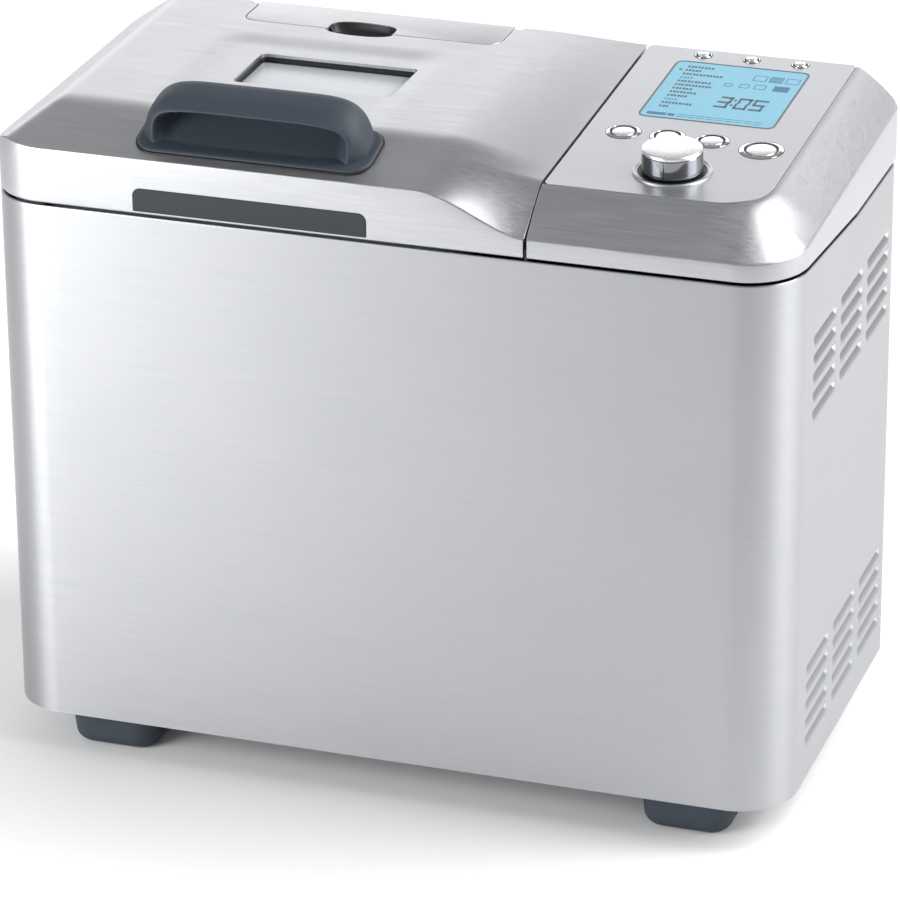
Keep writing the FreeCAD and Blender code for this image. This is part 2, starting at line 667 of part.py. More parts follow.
def make_wrap():
    outer = plan_ring("wrap_outside", as_length(0.0), S.foot_height, seam_top)
    inner = plan_ring("wrap_inside", S.wrap_sheet, S.foot_height - MARGIN, seam_top + MARGIN)
    window_x = side_face - S.rear_corner - S.rear_flange
    window = block("wrap_rear_window", (-window_x, window_x), (wrap_back - MARGIN, wrap_back + MARGIN),
                   (S.foot_height - MARGIN, seam_top + MARGIN))
    corners = [(drop_start, seam_top), (drop_end, seam_rear), (wrap_back + MARGIN, seam_rear),
               (wrap_back + MARGIN, seam_top + MARGIN), (drop_start, seam_top + MARGIN)]
    seam = prism_x("wrap_seam_cut", corners, (-side_face - MARGIN, side_face + MARGIN))
    slots = []
    for level in (S.louvre_upper_height, S.louvre_lower_height):
        for column in range(S.louvre_columns.value):
            for step in range(S.louvre_rows.value):
                y = front_face + S.louvre_first_depth + S.louvre_column_pitch * column
                z = level + S.louvre_pitch * step
                slots.append(block("wrap_louvre", (side_face - MARGIN, side_face + MARGIN),
                                   (y, y + S.louvre_length), (z, z + S.louvre_height)))
    return node(cut("housing_wrap", outer, inner, window, seam, *slots))


def make_base():
    node(plan_ring("base_tray", S.wrap_sheet, S.foot_height, tray_top))
    feet = []
    shrink = S.foot_height * tangent(S.foot_taper)
    left = S.foot_side_inset - side_face
    for x in (left, -left - S.foot_top):
        for depth in (S.foot_front_inset, S.foot_rear_inset):
            y = front_face + depth
            feet.append(drafted_block("foot", (x + shrink, x + S.foot_top - shrink),
                                      (y + shrink, y + S.foot_depth - shrink),
                                      (as_length(0.0), S.foot_height), S.foot_taper, S.foot_corner))
    node(group("feet", *feet))


def screw_places():
    """The six fixing points of the rear cover."""
    across = side_face - S.rear_cover_side_inset - S.screw_inset
    low = S.rear_cover_low + S.screw_inset
    high = S.rear_cover_low + S.rear_cover_height - S.screw_inset
    return [(x, z) for x in (-across, as_length(0.0), across) for z in (low, high)]


def make_rear():
    rear = wrap_back + S.rear_cover_depth
    reach = side_face - S.rear_cover_side_inset
    wall = S.rear_cover_wall
    z = (S.rear_cover_low, S.rear_cover_low + S.rear_cover_height)
    no_round = None
    outer = rounded_block("rear_cover_outside", (-reach, reach), (wrap_back, rear), z,
                          (no_round, no_round, S.rear_cover_corner, S.rear_cover_corner))
    inner_corner = S.rear_cover_corner - wall
    inner = rounded_block("rear_cover_inside", (wall - reach, reach - wall),
                          (wrap_back - MARGIN, rear - wall), (z[0] + wall, z[1] - wall),
                          (no_round, no_round, inner_corner, inner_corner))
    cuts = []
    for side in (-1, 1):
        for step in range(S.vent_rows.value):
            level = S.vent_low + S.vent_pitch * step
            cuts.append(block("rear_vent", about(side * S.vent_offset, S.vent_length),
                              (rear - 2 * wall, rear + MARGIN), (level, level + S.vent_height)))
    cuts.append(block("inlet_window", about(S.inlet_across, S.inlet_width), (rear - 2 * wall, rear + MARGIN),
                      about(S.inlet_up, S.inlet_height)))
    screws = []
    tabs = []
    for x, level in screw_places():
        cuts.append(rod("screw_hole", S.screw_shank, 2 * wall, x, rear - 1.5 * wall, level, ALONG_Y))
        head = rod("screw_head", S.screw_head, S.screw_head_height, x, rear, level, ALONG_Y)
        shank = rod("screw_shank_rod", S.screw_shank, S.screw_length, x, rear - S.screw_length, level,
                    ALONG_Y)
        screws.append(join("cover_screw", head, shank))
        boss = rod("screw_boss", 2 * S.screw_shank, S.rear_cover_depth - wall, x, wrap_back, level, ALONG_Y)
        bore = rod("screw_bore", S.screw_shank, S.screw_length + wall, x, rear - S.screw_length, level,
                   ALONG_Y)
        tabs.append(cut("cover_boss", boss, bore))
    shell = cut("rear_cover_shell", outer, inner, *cuts)
    node(join("rear_cover", shell, *tabs))
    node(group("cover_screws", *screws))

    flange = rounded_block("inlet_flange_plate", about(S.inlet_across, S.inlet_width + 2 * S.inlet_lip),
                           (rear, rear + S.inlet_flange), about(S.inlet_up, S.inlet_height + S.inlet_lip),
                           no_round)
    body = block("inlet_body", about(S.inlet_across, S.inlet_width),
                 (rear - S.inlet_length, rear + S.inlet_flange / 2), about(S.inlet_up, S.inlet_height))
    mouth = rear + S.inlet_flange
    socket = block("inlet_socket", about(S.inlet_across, S.inlet_width - 2 * S.inlet_wall),
                   (mouth - S.inlet_socket_depth, mouth + MARGIN),
                   about(S.inlet_up, S.inlet_height - 2 * S.inlet_wall))
    node(cut("power_inlet", join("inlet_blank", flange, body), socket))
    pins = []
    root = mouth - S.inlet_socket_depth
    for step, level in ((-1, -S.inlet_pin_sink), (0, S.inlet_pin_rise), (1, -S.inlet_pin_sink)):
        pins.append(block("inlet_pin", about(S.inlet_across + S.inlet_pin_pitch * step, S.inlet_pin_sheet),
                          (root, root + S.inlet_pin_length),
                          about(S.inlet_up + level, S.inlet_pin_width)))
    node(group("inlet_pins", *pins))


# ---------------------------------------------------------------- deck, cavity and heating


def rounded_tube(label, x, y, z, wall, radius):
    """Upright rounded rectangular tube, open at both ends, x and y outside."""
    outer = rounded_block(label + "_outside", x, y, z, radius)
    inner = rounded_block(label + "_inside", (x[0] + wall, x[1] - wall), (y[0] + wall, y[1] - wall),
                          (z[0] - MARGIN, z[1] + MARGIN), radius - wall)
    return cut(label, outer, inner)


def make_deck():
    plate = plan_ring("deck_plate", S.wrap_sheet, deck_top - S.deck_sheet, deck_top)
    cavity = rounded_block("deck_cavity_opening", cavity_x, cavity_span,
                           (deck_top - S.deck_sheet - MARGIN, deck_top + MARGIN), S.cavity_corner)
    bay = rounded_block("deck_bay_opening", (board_x, board_x + S.board_width),
                        (front_face + 2 * S.fascia_inset, wrap_back - S.fascia_inset),
                        (deck_top - S.deck_sheet - MARGIN, deck_top + MARGIN), S.rear_corner)
    node(cut("top_deck", plate, cavity, bay))


def make_cavity():
    wall = S.cavity_sheet
    x = cavity_x
    y = cavity_span
    tub = rounded_block("cavity_outside", x, y, (S.cavity_floor_height, flange_top), S.cavity_corner)
    lip = S.cavity_flange
    flange = rounded_block("cavity_flange_plate", (x[0] - lip, x[1] + lip), (y[0] - lip, y[1] + lip),
                           (deck_top, flange_top), S.cavity_corner + lip)
    hollow = rounded_block("cavity_hollow", (x[0] + wall, x[1] - wall), (y[0] + wall, y[1] - wall),
                           (cavity_floor, flange_top + MARGIN), S.cavity_corner - wall)
    holes = [rod("cavity_shaft_hole", S.bearing_radius, 2 * MARGIN, lid_middle, cavity_y,
                 S.cavity_floor_height - MARGIN)]
    rear_wall = y[1] - MARGIN
    for side in (-1, 1):
        holes.append(rod("cavity_terminal_hole", S.element_tube / 2, 2 * MARGIN,
                         lid_middle + side * S.element_terminal_pitch / 2, rear_wall,
                         S.element_height, ALONG_Y))
    holes.append(rod("cavity_probe_hole", S.probe_radius, 2 * MARGIN, lid_middle + S.probe_across,
                     rear_wall, S.probe_height, ALONG_Y))
    for step in range(8):
        angle = as_length(45.0 * step)
        holes.append(rod("cavity_air_hole", S.fan_hole_radius, 2 * MARGIN,
                         lid_middle + S.fan_hole_ring * cosine(angle), rear_wall,
                         S.impeller_height + S.fan_hole_ring * sine(angle), ALONG_Y))
    node(cut("oven_cavity", join("cavity_blank", tub, flange), hollow, *holes))


def make_heating():
    tube = S.element_tube / 2
    bend = S.element_bend
    gap = S.cavity_sheet + S.element_wall_gap + tube
    x = (cavity_x[0] + gap, cavity_x[1] - gap)
    y = (cavity_span[0] + gap, cavity_span[1] - gap)
    z = S.element_height
    pitch = S.element_terminal_pitch / 2
    turns = [(x[1] - bend, y[1] - bend, 0), (x[0] + bend, y[1] - bend, 90),
             (x[0] + bend, y[0] + bend, 180), (x[1] - bend, y[0] + bend, 270)]
    pieces = [elbow("element_elbow", bend, tube, cx, cy, z, FreeCAD.Rotation(Z_AXIS, angle))
              for cx, cy, angle in turns]
    pieces.append(rod("element_front", tube, x[1] - x[0] - 2 * bend, x[0] + bend, y[0], z, ALONG_X))
    for edge in x:
        pieces.append(rod("element_side", tube, y[1] - y[0] - 2 * bend, edge, y[0] + bend, z, ALONG_Y))
    run = (x[1] - x[0]) / 2 - bend - pitch
    pieces.append(rod("element_rear_left", tube, run, x[0] + bend, y[1], z, ALONG_X))
    pieces.append(rod("element_rear_right", tube, run, lid_middle + pitch, y[1], z, ALONG_X))
    reach = cavity_span[1] + S.element_terminal_reach - y[1]
    for side in (-1, 1):
        pieces.append(rod("element_terminal", tube, reach, lid_middle + side * pitch, y[1], z, ALONG_Y))
        pieces.append(named_ball("element_knee", tube, lid_middle + side * pitch, y[1], z))
    node(join("heating_element", *pieces))
    node(rod("temperature_probe", S.probe_radius, S.probe_length, lid_middle + S.probe_across,
             cavity_span[1] - S.probe_length / 2, S.probe_height, ALONG_Y))
    node(heat_shield())


def named_ball(label, radius, x, y, z):
    ball = named("Part::Sphere", label)
    bind(ball, "Radius", radius)
    return place(ball, x, y, z)


def heat_shield():
    plate = block("shield_plate", (S.shield_across, S.shield_across + S.shield_sheet),
                  (front_face + S.wrap_sheet, wrap_back), (tray_top, deck_top - S.deck_sheet))
    window = block("shield_belt_window", (S.shield_across - MARGIN, S.shield_across + MARGIN),
                   about(cavity_y, S.belt_window_depth), (tray_top - MARGIN, tray_top + S.belt_window_height))
    return cut("heat_shield", plate, window)


# ---------------------------------------------------------------- drive train

shaft_top = cavity_floor + S.bearing_neck + S.coupler_plate
coupler_low = cavity_floor + S.bearing_neck
dog_top = shaft_top + S.coupler_dog
driven_plate_low = dog_top + S.coupler_gap


def make_drive():
    middle = (lid_middle, cavity_y)
    bore = S.shaft_radius + S.running_play
    low = S.cavity_floor_height - S.bearing_length
    corners = [(bore, low), (S.bearing_radius, low),
               (S.bearing_radius, S.cavity_floor_height - S.bearing_flange_sheet),
               (S.bearing_flange_radius, S.cavity_floor_height - S.bearing_flange_sheet),
               (S.bearing_flange_radius, S.cavity_floor_height),
               (S.bearing_radius, S.cavity_floor_height),
               (S.bearing_radius, coupler_low - S.coupler_gap), (bore, coupler_low - S.coupler_gap)]
    node(turned("shaft_bearing", corners, *middle, 0))
    node(rod("drive_shaft", S.shaft_radius, shaft_top - S.drive_shaft_low, *middle, S.drive_shaft_low))

    low = S.pulley_low
    high = low + S.pulley_width
    lip = S.pulley_lip
    run = S.large_pulley_radius
    web = 2 * lip
    corners = [(S.shaft_radius, low), (S.pulley_hub_radius, low), (S.pulley_hub_radius, low + web),
               (run - 2 * web, low + web), (run - 2 * web, low), (run + lip, low), (run + lip, low + lip),
               (run, low + lip), (run, high - lip), (run + lip, high - lip), (run + lip, high),
               (run - 2 * web, high), (run - 2 * web, high - web), (S.pulley_hub_radius, high - web),
               (S.pulley_hub_radius, high), (S.shaft_radius, high)]
    node(turned("large_pulley", corners, *middle, 0))
    motor = (S.motor_across, cavity_y)
    run = S.small_pulley_radius
    corners = [(S.shaft_radius, low), (run + lip, low), (run + lip, low + lip), (run, low + lip),
               (run, high - lip), (run + lip, high - lip), (run + lip, high), (S.shaft_radius, high)]
    node(turned("motor_pulley", corners, *motor, 0))
    node(rod("motor_shaft", S.shaft_radius, S.bracket_height - S.drive_shaft_low, *motor, S.drive_shaft_low))
    node(drive_belt())

    half = S.bracket_reach
    top = S.bracket_height
    can = rod("motor_can", S.motor_radius, S.motor_length, *motor, top)
    cap = rod("motor_cap", S.motor_radius / 2, S.bracket_sheet, *motor, top + S.motor_length)
    socket = rod("motor_socket", S.shaft_radius + S.running_play, 2 * MARGIN, *motor, top - MARGIN)
    node(cut("motor", join("motor_blank", can, cap), socket))
    plate = block("bracket_plate", about(S.motor_across, 2 * half), about(cavity_y, 2 * half),
                  (top - S.bracket_sheet, top))
    corner = half - 2 * S.post_radius
    posts = [rod("bracket_post", S.post_radius, top - tray_top, S.motor_across + sx * corner,
                 cavity_y + sy * corner, tray_top) for sx in (-1, 1) for sy in (-1, 1)]
    hole = rod("bracket_hole", 2 * S.shaft_radius, 2 * MARGIN, *motor, top - MARGIN)
    node(cut("motor_bracket", join("bracket_blank", plate, *posts), hole))

    plate = rod("coupler_disc", S.coupler_radius, S.coupler_plate, *middle, coupler_low)
    hole = rod("coupler_bore", S.shaft_radius, 2 * MARGIN, *middle, coupler_low - S.coupler_gap)
    dogs = coupler_dogs("drive_dog", shaft_top, dog_top, 0)
    node(join("drive_coupler", cut("coupler_body", plate, hole), *dogs))


def coupler_dogs(label, low, high, turn):
    """Two blocks near the rim, on the X axis or, turned, on the Y axis."""
    inner = S.coupler_radius / 2
    outer = S.coupler_radius
    dogs = []
    for side in (-1, 1):
        reach = (inner, outer) if side > 0 else (-outer, -inner)
        width = (-S.coupler_dog_width / 2, S.coupler_dog_width / 2)
        x, y = (width, reach) if turn else (reach, width)
        dogs.append(block(label, (lid_middle + x[0], lid_middle + x[1]),
                          (cavity_y + y[0], cavity_y + y[1]), (low, high)))
    return dogs


def belt_loop(radius_a, radius_b, span):
    """Face inside the line drawn tightly round two circles that lie a span apart on X."""
    lean = math.acos((radius_a - radius_b) / span)
    points = []
    for centre, radius in ((0.0, radius_a), (span, radius_b)):
        for side in (1, -1):
            points.append(FreeCAD.Vector(centre + radius * math.cos(lean), side * radius * math.sin(lean), 0))
    near_top, near_low, far_top, far_low = points
    near = Part.Arc(near_top, FreeCAD.Vector(-radius_a, 0, 0), near_low)
    far = Part.Arc(far_low, FreeCAD.Vector(span + radius_b, 0, 0), far_top)
    edges = [near.toShape(), Part.makeLine(near_low, far_low), far.toShape(),
             Part.makeLine(far_top, near_top)]
    return Part.Face(Part.Wire(edges))


def drive_belt():
    span = read(S.motor_across - lid_middle)
    play = read(S.belt_play)
    thick = play + read(S.belt_thickness)
    height = read(S.pulley_width - 2 * S.pulley_lip - 2 * S.belt_play)
    large = read(S.large_pulley_radius)
    small = read(S.small_pulley_radius)
    lift = FreeCAD.Vector(0, 0, height)
    outer = belt_loop(large + thick, small + thick, span).extrude(lift)
    inner = belt_loop(large + play, small + play, span).extrude(lift)
    belt = named("Part::Feature", "drive_belt")
    belt.Shape = outer.cut(inner)
    return place(belt, lid_middle, cavity_y, S.pulley_low + S.pulley_lip + S.belt_play)


def make_convection():
    spot = (lid_middle, S.impeller_height)
    start = cavity_span[1] + S.impeller_gap
    plate = rod("impeller_plate", S.impeller_radius, S.cavity_sheet, spot[0], start, spot[1], ALONG_Y)
    hub = rod("impeller_hub", 2 * S.probe_radius, S.impeller_depth, spot[0], start, spot[1], ALONG_Y)
    pieces = [plate, hub]
    for step in range(8):
        angle = as_length(45.0 * step)
        blade = block("impeller_blade", (S.probe_radius, S.impeller_radius - 1),
                      (as_length(0.0), S.impeller_depth), (as_length(0.0), S.cavity_sheet),
                      FreeCAD.Rotation(Y_AXIS, -angle.value),
                      (spot[0] + S.probe_radius * cosine(angle), start,
                       spot[1] + S.probe_radius * sine(angle)))
        pieces.append(blade)
    bore = rod("impeller_bore", S.dial_shaft_radius, 2 * S.impeller_depth, spot[0], start + S.cavity_sheet,
               spot[1], ALONG_Y)
    node(cut("convection_fan", join("impeller_blank", *pieces), bore))
    motor_start = start + S.impeller_depth + S.impeller_gap
    can = rod("fan_motor_can", S.fan_motor_radius, S.fan_motor_length, spot[0], motor_start, spot[1], ALONG_Y)
    shaft = rod("fan_motor_shaft", S.dial_shaft_radius - S.running_play, S.impeller_depth + S.impeller_gap,
                spot[0], motor_start - S.impeller_depth, spot[1], ALONG_Y)
    half = side_face - S.rear_cover_side_inset - S.rear_cover_wall
    strap = block("fan_motor_strap", (-half, half), (wrap_back, wrap_back + S.bracket_sheet),
                  about(spot[1], S.fan_motor_radius))
    node(join("convection_motor", can, shaft, strap))


# ---------------------------------------------------------------- bread pan and paddle

pan_low = S.pan_floor_height
pan_rim = S.pan_floor_height + S.pan_height
pan_flare = S.pan_height * tangent(S.pan_taper)
pan_base_x = about(lid_middle, S.pan_width - 2 * pan_flare)
pan_base_y = about(cavity_y, S.pan_depth - 2 * pan_flare)


def make_pan():
    wall = S.pan_wall
    outer = drafted_block("pan_outside", pan_base_x, pan_base_y, (pan_low, pan_rim), S.pan_taper,
                          S.pan_corner)
    lip = S.pan_rim_lip
    rim = rounded_block("pan_rim_roll", about(lid_middle, S.pan_width + 2 * lip),
                        about(cavity_y, S.pan_depth + 2 * lip),
                        (pan_rim - S.pan_rim_height, pan_rim), S.pan_corner + lip)
    inner = drafted_block("pan_inside", (pan_base_x[0] + wall, pan_base_x[1] - wall),
                          (pan_base_y[0] + wall, pan_base_y[1] - wall), (pan_low + wall, pan_rim + MARGIN),
                          S.pan_taper, S.pan_corner - wall)
    foot_low = cavity_floor + S.pan_seat_gap
    foot_in = S.pan_foot_radius - S.pan_foot_wall
    foot = turned("pan_foot", [(foot_in, foot_low), (S.pan_foot_radius, foot_low),
                               (S.pan_foot_radius, pan_low + wall),
                               (foot_in, pan_low + wall)], lid_middle, cavity_y, 0)
    hole = rod("pan_shaft_hole", S.bush_radius, 2 * MARGIN, lid_middle, cavity_y, pan_low - MARGIN)
    ears = []
    pivot_z = pan_rim - S.bail_drop
    for side in (-1, 1):
        start = lid_middle + side * (S.pan_width / 2 + lip)
        inner_end = lid_middle + side * (S.pan_width / 2 - S.pan_rim_height)
        x = (inner_end, start) if side > 0 else (start, inner_end)
        ears.append(block("pan_ear", x, about(cavity_y, 2 * S.bail_bend),
                          (pivot_z - 2 * S.bail_rod, pan_rim)))
    blank = join("pan_blank", outer, rim, foot, *ears)
    bail_hole = rod("pan_bail_hole", S.bail_rod / 2 + S.running_play, S.pan_width + 8 * lip,
                    lid_middle - S.pan_width / 2 - 4 * lip, cavity_y, pivot_z, ALONG_X)
    node(cut("bread_pan", blank, inner, hole, bail_hole))

    bore = S.shaft_radius + S.running_play
    top = pan_low + wall + S.bush_height
    node(turned("pan_bush", [(bore, pan_low - wall), (S.bush_radius, pan_low - wall),
                             (S.bush_radius, top - wall),
                             (S.bush_radius - wall, top), (bore, top)], lid_middle, cavity_y, 0))
    tip = pan_low + S.pan_shaft_top
    stalk = rod("pan_shaft_rod", S.shaft_radius, tip - driven_plate_low, lid_middle, cavity_y,
                driven_plate_low)
    disc = rod("driven_disc", S.coupler_radius, pan_low - wall - S.coupler_gap - driven_plate_low,
               lid_middle, cavity_y, driven_plate_low)
    dogs = coupler_dogs("driven_dog", shaft_top + S.coupler_gap, driven_plate_low, 1)
    node(join("pan_shaft", stalk, disc, *dogs))


def make_pan_mount():
    inner = S.pan_foot_radius + S.pan_foot_clearance
    outer = inner + S.lock_wall
    top = cavity_floor + S.lock_height
    ring = turned("mount_ring", [(inner, cavity_floor), (outer, cavity_floor), (outer, top), (inner, top)],
                  lid_middle, cavity_y, 0)
    feet = [block("mount_foot", about(lid_middle + side * (outer + S.lock_lug_width / 2 - 1),
                                      S.lock_lug_width),
                  about(cavity_y, S.lock_lug_width), (cavity_floor, cavity_floor + S.lock_wall))
            for side in (-1, 1)]
    node(join("pan_mount", ring, *feet))


def make_paddle():
    low = pan_low + S.pan_wall + S.bush_height + S.coupler_gap
    high = low + S.hub_height
    cap_low = pan_low + S.pan_shaft_top
    corners = [(as_length(0.0), cap_low), (S.shaft_radius, cap_low), (S.shaft_radius, low),
               (S.hub_radius, low),
               (S.hub_radius, high), (S.hub_radius / 2, high + S.hub_radius / 2),
               (as_length(0.0), high + S.hub_radius / 2)]
    hub = turned("hub_body", corners, lid_middle, cavity_y, 0)
    knuckle_out = S.hub_radius + 4 * S.blade_pin_radius
    half = S.blade_sheet / 2 + S.blade_gap
    pin_x = lid_middle + S.hub_radius + 2 * S.blade_pin_radius
    pin_z = low + 2 * S.blade_pin_radius
    cheeks = [block("hub_cheek", (lid_middle + S.hub_radius / 2, lid_middle + knuckle_out),
                    (cavity_y + half, cavity_y + half + S.blade_sheet) if side > 0 else
                    (cavity_y - half - S.blade_sheet, cavity_y - half), (low, low + 4 * S.blade_pin_radius))
              for side in (-1, 1)]
    shaft_room = rod("hub_shaft_room", S.shaft_radius, cap_low - low + MARGIN, lid_middle, cavity_y,
                     low - MARGIN)
    pin_hole = rod("hub_pin_hole", S.blade_pin_radius, 4 * S.hub_radius, pin_x, cavity_y - 2 * S.hub_radius,
                   pin_z,
                   ALONG_Y)
    node(cut("paddle_hub", join("hub_blank", hub, *cheeks), shaft_room, pin_hole))
    reach = half + S.blade_sheet
    node(rod("paddle_pin", S.blade_pin_radius, 2 * reach, pin_x, cavity_y - reach, pin_z, ALONG_Y))
    start = pin_x - 2 * S.blade_pin_radius + S.blade_gap
    tip = pin_x + S.blade_length
    top = pin_z + S.blade_height
    rise = pin_z + 2 * S.blade_pin_radius
    wide = lid_middle + knuckle_out + S.blade_gap
    corners = [(start, pin_z - S.blade_pin_radius * 1.6), (tip - S.blade_height / 2,
                                                           pin_z - S.blade_pin_radius * 1.6),
               (tip, pin_z + S.blade_pin_radius), (tip - S.blade_pin_radius, top), (wide, top), (start, rise)]
    blade = prism_y("blade_body", corners, about(cavity_y, S.blade_sheet))
    bore = rod("blade_bore", S.blade_pin_radius + S.running_play, 2 * MARGIN, pin_x, cavity_y - MARGIN,
               pin_z, ALONG_Y)
    node(cut("paddle_blade", blade, bore))


def make_bail():
    """The folded carrying handle: a rod that leaves one ear, runs round the pan's rear and comes back."""
    tube = S.bail_rod / 2
    bend = S.bail_bend
    lean = S.bail_fold
    pivot_z = pan_rim - S.bail_drop
    leg_x = S.pan_width / 2 + S.pan_rim_lip + S.bail_side_gap + tube
    pieces = []
    for side in (-1, 1):
        x = lid_middle + side * leg_x
        stub = S.pan_rim_lip + S.bail_side_gap + tube + S.pan_rim_height / 2
        start = x - stub if side > 0 else x
        pieces.append(rod("bail_pivot", tube, stub, start, cavity_y, pivot_z, ALONG_X))
        pieces.append(named_ball("bail_knee", tube, x, cavity_y, pivot_z))
        direction = FreeCAD.Rotation(X_AXIS, -90 + lean.value)
        leg = S.bail_reach - bend
        pieces.append(rod("bail_leg", tube, leg, x, cavity_y, pivot_z, direction))
        y = cavity_y + leg * cosine(lean)
        z = pivot_z + leg * sine(lean)
        turn = FreeCAD.Rotation(X_AXIS, lean.value)
        if side < 0:
            turn = turn.multiply(FreeCAD.Rotation(Z_AXIS, 90))
        pieces.append(elbow("bail_elbow", bend, tube, x - side * bend, y, z, turn))
    y = cavity_y + S.bail_reach * cosine(lean)
    z = pivot_z + S.bail_reach * sine(lean)
    pieces.append(rod("bail_grip", tube, 2 * (leg_x - bend), lid_middle - leg_x + bend, y, z, ALONG_X))
    node(join("pan_bail", *pieces))


# ---------------------------------------------------------------- control housing

low_cut = S.foot_height + S.wrap_height / 2


def control_profile(inset, low):
    """Side view of the control housing, drawn in by the inset; follows the seam where low is None."""
    sunk = (inset + S.fascia_sheet) / cosine(S.fascia_tilt)
    rise = inset * tangent(S.fascia_tilt)
    high = [(cover_back - inset, fascia_high - rise - sunk), (fascia_front + inset, fascia_low + rise - sunk),
            (front_face + inset, seam_top + S.control_front_band - inset)]
    return seam_profile(inset, low) + high


def seam_profile(inset, low):
    if low is not None:
        return [(front_face + inset, low), (cover_back - inset, low)]
    gap = S.seam_gap
    return [(front_face, seam_top + gap), (drop_start, seam_top + gap), (drop_end, seam_rear + gap),
            (cover_back, seam_rear + gap)]


def control_form(label, inset, low):
    x = (control_left + inset, side_face - inset)
    y = (front_face + inset, cover_back - inset)
    no_round = None
    plan = rounded_block(label + "_plan", x, y, (low_cut, crown),
                         (no_round, S.front_corner - inset, S.rear_corner - inset, no_round))
    side = prism_x(label + "_side", control_profile(inset, low), x)
    foot = fascia_low - S.fascia_inset * tangent(S.fascia_tilt) - S.control_slope_drop - inset
    rise = S.wrap_depth * tangent(S.fascia_tilt)
    views = []
    for lift in (0.0, rise):
        start = foot + lift
        views.append([(x[0], low_cut), (x[1], low_cut), (x[1], start),
                      (x[1] - 2 * S.control_slope_width, start + 2 * S.control_slope_drop),
                      (x[0], start + 2 * S.control_slope_drop)])
    slope = ruled_y(label + "_slope", views[0], views[1], y)
    return overlap(label, plan, side, slope)


def button_layout():
    """Each button: name, across, along the fascia, cap radius, ring radius."""
    row = [("timer_button", 0), ("modify_button", 1), ("cancel_button", 2)]
    left = side_face - S.button_row_left
    layout = [(name, left + S.button_row_pitch * step, S.button_row_inset, S.button_radius, S.button_ring)
              for name, step in row]
    layout.append(("start_button", side_face - S.start_across, S.start_inset, S.start_radius, S.start_ring))
    row = [("crust_button", 0), ("loaf_size_button", 1), ("lamp_button", 2)]
    left = side_face - S.small_row_left
    layout += [(name, left + S.small_row_pitch * step, S.small_row_inset, S.small_radius, S.small_ring)
               for name, step in row]
    return layout


def make_control():
    blank = control_form("control_outside", as_length(0.0), None)
    hollow = control_form("control_inside", S.shell_wall, low_cut)
    shell = cut("control_shell", blank, hollow)
    inset = S.skirt_inset
    wall = S.skirt_wall
    span = (deck_top, seam_top + S.seam_gap + S.skirt_engagement)
    no_round = None

    def skirt(label, trim, z):
        corner = S.front_corner - inset - trim
        return rounded_block(label, (control_left + trim, side_face - inset - trim),
                             (front_face + inset + trim, wrap_back - inset - trim), z,
                             (no_round, corner, S.rear_corner - inset, no_round))

    ring = cut("control_skirt", skirt("skirt_outside", as_length(0.0), span),
               skirt("skirt_inside", wall, (span[0] - MARGIN, span[1] + MARGIN)))
    depth = S.shell_wall + S.fascia_sheet + MARGIN
    holes = []
    seats = []
    for name, across, along, radius, ring_radius in button_layout():
        spigot = radius + S.button_gap + S.ring_spigot
        holes.append(rod("button_hole", spigot, depth + MARGIN, *on_fascia(across, along, -depth), TILTED))
    holes.append(rod("dial_hole", S.dial_shaft_radius + S.dial_gap, depth + MARGIN,
                     *on_fascia(dial_x, S.dial_inset, -depth), TILTED))
    ledge = S.lcd_ledge
    lcd_x = (side_face - S.lcd_left, side_face - S.lcd_left + S.lcd_width)
    lcd_y = (S.lcd_inset, S.lcd_inset + S.lcd_depth)
    holes.append(block("lcd_hole", (lcd_x[0] + ledge, lcd_x[1] - ledge), (lcd_y[0] + ledge, lcd_y[1] - ledge),
                       (-depth, as_length(MARGIN)), TILTED, on_fascia(lcd_x[0] + ledge, lcd_y[0] + ledge,
                                                                      -depth)))
    seats.append(rounded_block("lcd_seat", lcd_x, lcd_y, (-S.fascia_sheet, as_length(MARGIN)), S.lcd_corner,
                               TILTED,
                               on_fascia(lcd_x[0], lcd_y[0], -S.fascia_sheet)))
    node(cut("control_housing", join("control_blank", shell, ring), *holes))

    plate = rounded_block("fascia_plate", (control_left, fascia_right), (as_length(0.0), fascia_length),
                          (as_length(0.0), S.fascia_sheet),
                          (S.fascia_small_corner, S.fascia_corner, S.fascia_small_corner,
                           S.fascia_small_corner),
                          TILTED, on_fascia(control_left, 0.0, -S.fascia_sheet))
    node(cut("control_fascia", plate, *holes, *seats))
    node(rounded_block("lcd_window", lcd_x, lcd_y, (as_length(0.0), S.fascia_sheet), S.lcd_corner, TILTED,
                       on_fascia(lcd_x[0], lcd_y[0], -S.fascia_sheet)))
    module_high = -S.fascia_sheet
    node(block("lcd_module", (lcd_x[0] + ledge, lcd_x[1] - ledge), (lcd_y[0] + ledge, lcd_y[1] - ledge),
               (as_length(0.0), S.lcd_module_depth), TILTED,
               on_fascia(lcd_x[0] + ledge, lcd_y[0] + ledge, module_high - S.lcd_module_depth)))


def make_buttons():
    rings = []
    foot = -S.board_sink + S.switch_height + S.button_travel + S.button_gap
    for name, across, along, radius, ring_radius in button_layout():
        hole = radius + S.button_gap
        spigot = hole + S.ring_spigot
        deep = -S.fascia_sheet - S.shell_wall
        corners = [(hole, deep), (spigot, deep), (spigot, as_length(0.0)), (ring_radius, as_length(0.0)),
                   (ring_radius, S.ring_height / 2), (ring_radius - S.ring_height / 2, S.ring_height),
                   (hole, S.ring_height)]
        rings.append(turned(name + "_ring", corners, *on_fascia(across, along, 0.0), TILTED))
        edge = S.button_proud / 4
        corners = [(as_length(0.0), foot), (S.button_stem, foot), (S.button_stem, deep), (radius, deep),
                   (radius, S.button_proud - edge), (radius - edge, S.button_proud),
                   (as_length(0.0), S.button_proud)]
        node(turned(name, corners, *on_fascia(across, along, 0.0), TILTED))
    node(group("button_rings", *rings))


